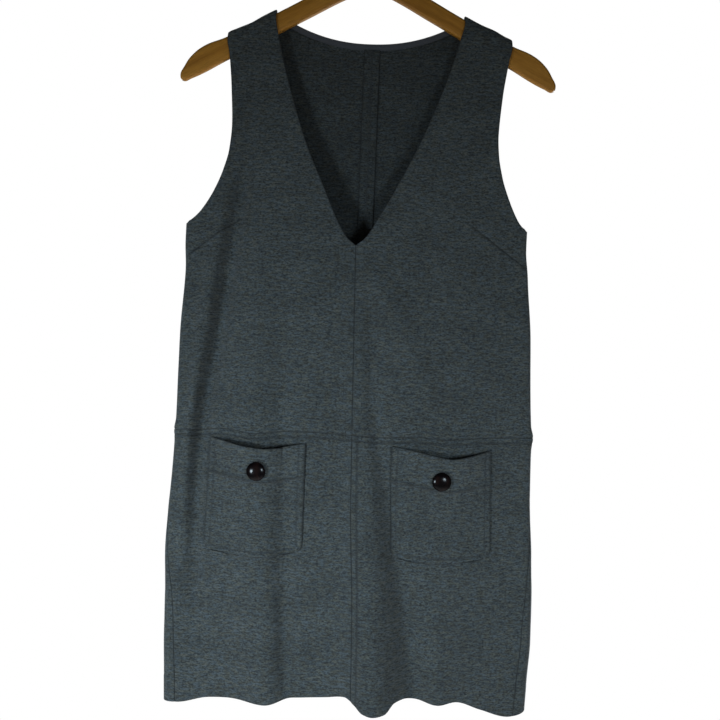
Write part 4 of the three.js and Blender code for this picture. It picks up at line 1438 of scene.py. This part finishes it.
def nearest_line(made, x, low, high):
    """The column of a pocket next to x, between two heights."""
    grid = made["outside"]
    column = int(np.argmin(np.abs(grid[grid.shape[0] // 4, :, 0] - x)))
    heights = grid[:, column, 2]
    rows = (heights > low) & (heights < high)
    spots = grid[rows, column].copy()
    spots[:, 0] = x
    return spots, made["normal"][rows, column]


for side in (LEFT, RIGHT):
    x, down = POCKETS[side]["button"]
    ends = (-down - HOLE_BELOW, -down + HOLE_ABOVE[side])
    spots, normals = nearest_line(pieces[f"pocket_{HANDS[side]}"], x + HOLE_ASIDE, *ends)
    for hand in (LEFT, RIGHT):
        edge = spots + np.array([hand * HOLE_HALF, -WHIP_FORWARD, 0])
        bars.append(thread_bars(edge, normals, **WHIP))
    bars.append(thread_bars(spots, normals, **SLIT))
    end = spots[END_TACK_ROWS] - np.array([0, END_TACK_FORWARD, 0])
    bars.append(thread_bars(end, normals[END_TACK_ROWS], **END_TACK))
tack_at = int(np.argmax(right_bodice["level"][:, 0] > V_POINT_DOWN + 1))
spots, normals = column_line(right_bodice, 2, slice(tack_at, tack_at + V_TACK_ROWS))
bars.append(thread_bars(spots + np.array([V_TACK_ASIDE, 0, 0]), normals, **V_TACK))
stitches = joined_mesh("topstitching", bars, thread_material)
print("Stitches:", len(stitches.data.polygons), "faces")

# %% [markdown]
# ## The hanger
# The arms are one flat board with round edges. A closed flat curve through the outline's points,
# given a thickness and a round bevel, makes it in one go, and is then turned into a mesh. The hook
# is a curve too, with the wire's thickness.

# %% Wooden arms
WOOD_THICK = 12
WOOD_ROUND = 3.5
WOOD_OUTLINE = (
    *zip(WOOD_TOP["x"], WOOD_TOP["down"]),
    (212.5, 178.5), (220, 190), (225.2, 203.5), (222.3, 208), (212, 204.6),
    (168, 180.5), (108.7, 148), (72, 127.6), (26, 102.6), (0, 91.5),
)
ARM_SLOPE = math.radians(27.5)
GRAIN_SHIFT = 0.3
HANGER_TILT = 0.006
HANGER_DROP = 0.8


def lacquered_wood():
    """Honey-coloured lacquered wood with fine grain along each arm."""
    material, tree, shader = new_material("lacquered_wood")
    place = node(tree, "ShaderNodeAttribute", attribute_name="grain").outputs["Vector"]
    rings = stretched_noise(tree, place, (190, 7, 7), detail=3)
    pores = stretched_noise(tree, place, (14, 0.55, 0.55))
    honey = (0.3, (0.30, 0.122, 0.014)), (0.52, (0.42, 0.185, 0.024)), (0.72, (0.48, 0.225, 0.034))
    fine = ramp(tree, pores, (0.34, 0.72), (0.5, 1.0))
    colour = blend(tree, ramp(tree, rings, *honey), fine, 0.8, "MULTIPLY")
    height = maths(tree, "ADD", maths(tree, "MULTIPLY", pores, 0.5), rings)
    values = {
        "Roughness": 0.45, "Specular IOR Level": 0.2, "Coat Weight": 0.1, "Coat Roughness": 0.25,
    }
    finish_surface(tree, shader, colour, values, height, strength=0.12, distance=0.0004)
    return material


def curve_piece(name, points, cyclic, material, **settings):
    """A curve through points (mm), turned into a mesh with its doubles merged."""
    data = bpy.data.curves.new(name, "CURVE")
    for key, value in settings.items():
        setattr(data, key, value)
    spline = data.splines.new("BEZIER")
    spline.bezier_points.add(len(points) - 1)
    for knot, spot in zip(spline.bezier_points, points):
        knot.co = Vector(spot) * MM
        knot.handle_left_type = knot.handle_right_type = "AUTO"
    spline.use_cyclic_u = cyclic
    piece = placed(name, data)
    only(piece)
    bpy.ops.object.convert(target="MESH")
    piece = bpy.context.view_layer.objects.active
    bpy.ops.object.mode_set(mode="EDIT")
    bpy.ops.mesh.select_all(action="SELECT")
    bpy.ops.mesh.remove_doubles(threshold=1e-6)
    bpy.ops.mesh.normals_make_consistent(inside=False)
    bpy.ops.object.mode_set(mode="OBJECT")
    piece.data.materials.clear()
    piece.data.materials.append(material)
    return piece


def wooden_arms():
    half = list(WOOD_OUTLINE)
    loop = half + [(-x, down) for x, down in half[-2:0:-1]]
    piece = curve_piece(
        "hanger_arms", [(x, -down, 0) for x, down in loop], True, lacquered_wood(),
        dimensions="2D", fill_mode="BOTH", resolution_u=10, bevel_resolution=6,
        extrude=(WOOD_THICK / 2 - WOOD_ROUND) * MM, bevel_depth=WOOD_ROUND * MM,
        offset=-WOOD_ROUND * MM,
    )
    tilt = Matrix.Rotation(HANGER_TILT, 4, "Y") @ Matrix.Translation((0, 0, -HANGER_DROP * MM))
    piece.data.transform(tilt @ Matrix.Rotation(math.pi / 2, 4, "X"))
    only(piece)
    bpy.ops.object.shade_smooth_by_angle(angle=math.radians(40))
    place = np.array([v.co for v in piece.data.vertices])
    away, down = np.abs(place[:, 0]), -place[:, 2]
    along = away * math.cos(ARM_SLOPE) + down * math.sin(ARM_SLOPE)
    across = down * math.cos(ARM_SLOPE) - away * math.sin(ARM_SLOPE)
    across = across + GRAIN_SHIFT * (place[:, 0] > 0)
    grain = piece.data.attributes.new("grain", "FLOAT_VECTOR", "POINT")
    lie = np.stack([along, across, place[:, 1]], -1)
    grain.data.foreach_set("vector", lie.ravel().astype(np.float32))
    return piece


arms = wooden_arms()
print("Hanger arms:", len(arms.data.polygons), "faces")

# %% Hook
WIRE = 4
HOOK_INSIDE = 19.5
HOOK_START, HOOK_END = -58, 205
HOOK_NECK = (2.6, 46.5)
STEM_DOWN = (84.2, 74, 62, 54)
HOOK_ARC_POINTS = 12

plated, tree, shader = new_material("plated_wire")
place = node(tree, "ShaderNodeTexCoord").outputs["Object"]
haze = ramp(tree, noise(tree, place, 380, 3.0), (0.3, 0.14), (0.7, 0.3))
tree.links.new(haze, shader.inputs["Roughness"])
shader.inputs["Base Color"].default_value = (0.62, 0.62, 0.63, 1)
shader.inputs["Metallic"].default_value = 1.0


def wire_hook():
    radius = HOOK_INSIDE + WIRE / 2
    path = [(0, 0, -down) for down in STEM_DOWN] + [(HOOK_NECK[0], 0, -HOOK_NECK[1])]
    for i in range(HOOK_ARC_POINTS + 1):
        angle = math.radians(mix(HOOK_START, HOOK_END, i / HOOK_ARC_POINTS))
        path.append((radius * math.cos(angle), 0, radius * math.sin(angle) - HOOK_INSIDE))
    piece = curve_piece(
        "hanger_wire", path, False, plated, dimensions="3D", fill_mode="FULL", resolution_u=8,
        bevel_depth=WIRE / 2 * MM, bevel_resolution=5, use_fill_caps=True,
    )
    only(piece)
    bpy.ops.object.shade_smooth_by_angle(angle=math.radians(50))
    return piece


hook = wire_hook()
print("Hook:", len(hook.data.polygons), "faces")

# %% [markdown]
# ## What each piece stands for
# Every piece rides on the one body and takes the place of its solid.


def settle(piece, node_name):
    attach(piece, "root")
    if node_name:
        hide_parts(node_name)


for name, made in pieces.items():
    settle(made["piece"], name)

settle(tape["piece"], "back_neck_tape")
for made in allowances:
    settle(made["piece"], None)
settle(stitches, None)
for side, button in buttons.items():
    settle(button, f"button_{HANDS[side]}")
settle(arms, "hanger_wood")
settle(hook, "hanger_hook")

# %% [markdown]
# ## Floor and light
# The dress hangs over a small pale floor with a wide lamp of its own. A cool lamp low in front on
# the left gives the dress its main light, with a weaker one in front on the right. Two more lamps
# light the back. The sky is dim, with a white backdrop for whoever looks, and no lamp shows.

# %% Floor, sky and lamps
FLOOR_HEIGHT = -2.05
FLOOR_SIZE = 3.4
SKY_LOW = (0.165, 0.158, 0.145)
SKY_HIGH = (0.03, 0.03, 0.03)
BACKDROP = (1.0, 1.0, 1.0)
FRONT_TINT = (0.84, 1.0, 1.12)
BACK_TINT = (0.88, 1.0, 1.08)


def floor():
    deselect()
    bpy.ops.mesh.primitive_plane_add(size=FLOOR_SIZE, location=(0, 0, FLOOR_HEIGHT))
    piece = bpy.context.object
    piece.name = "floor"
    material, _, shader = new_material("pale_floor")
    shader.inputs["Base Color"].default_value = (0.8, 0.8, 0.79, 1)
    shader.inputs["Roughness"].default_value = 0.9
    piece.data.materials.append(material)


def sky():
    """Dim from in front and dimmer from above, but the backdrop is white for whoever looks."""
    world = bpy.data.worlds.new("sky")
    world.use_nodes = True
    bpy.context.scene.world = world
    tree = world.node_tree
    place = node(tree, "ShaderNodeTexCoord").outputs["Generated"]
    height = node(tree, "ShaderNodeSeparateXYZ", {"Vector": place}).outputs["Z"]
    up = maths(tree, "ADD", height, 0.5)
    dim = ramp(tree, up, (0.3, SKY_LOW), (0.55, SKY_LOW), (0.95, SKY_HIGH))
    seen = node(tree, "ShaderNodeLightPath").outputs["Is Camera Ray"]
    colour = blend(tree, dim, BACKDROP, seen)
    tree.links.new(colour, tree.nodes["Background"].inputs["Color"])


def lamp(name, place, target, size, power, colour, spread=180):
    data = bpy.data.lights.new(name, "AREA")
    data.shape = "DISK"
    data.size = size
    data.energy = power
    data.color = colour
    data.spread = math.radians(spread)
    made = placed(name, data)
    made.location = place
    made.rotation_euler = (Vector(target) - Vector(place)).to_track_quat("-Z", "Y").to_euler()
    made.visible_camera = False


floor()
sky()
lamp("window", (-1.5, -1.85, -1.2), (-0.25, 0, -0.804), 0.6, 1.81, FRONT_TINT, spread=33.4)
lamp("room", (0.95, -2.15, -0.8), (0.03, 0, -0.9), 0.6, 1.42, FRONT_TINT, spread=41)
lamp("behind_left", (-1.6, 1.9, -1.15), (0, 0, -0.62), 1.0, 3.0, BACK_TINT, spread=70)
lamp("behind_right", (1.6, 1.9, -1.15), (0, 0, -0.62), 1.0, 8.0, BACK_TINT, spread=70)
lamp("floor_wash", (0, 0, -1.35), (0, 0, FLOOR_HEIGHT), 2.6, 27.0, (1.0, 1.0, 1.0))
bpy.context.scene.view_settings.view_transform = "Standard"
bpy.context.scene.view_settings.look = "None"
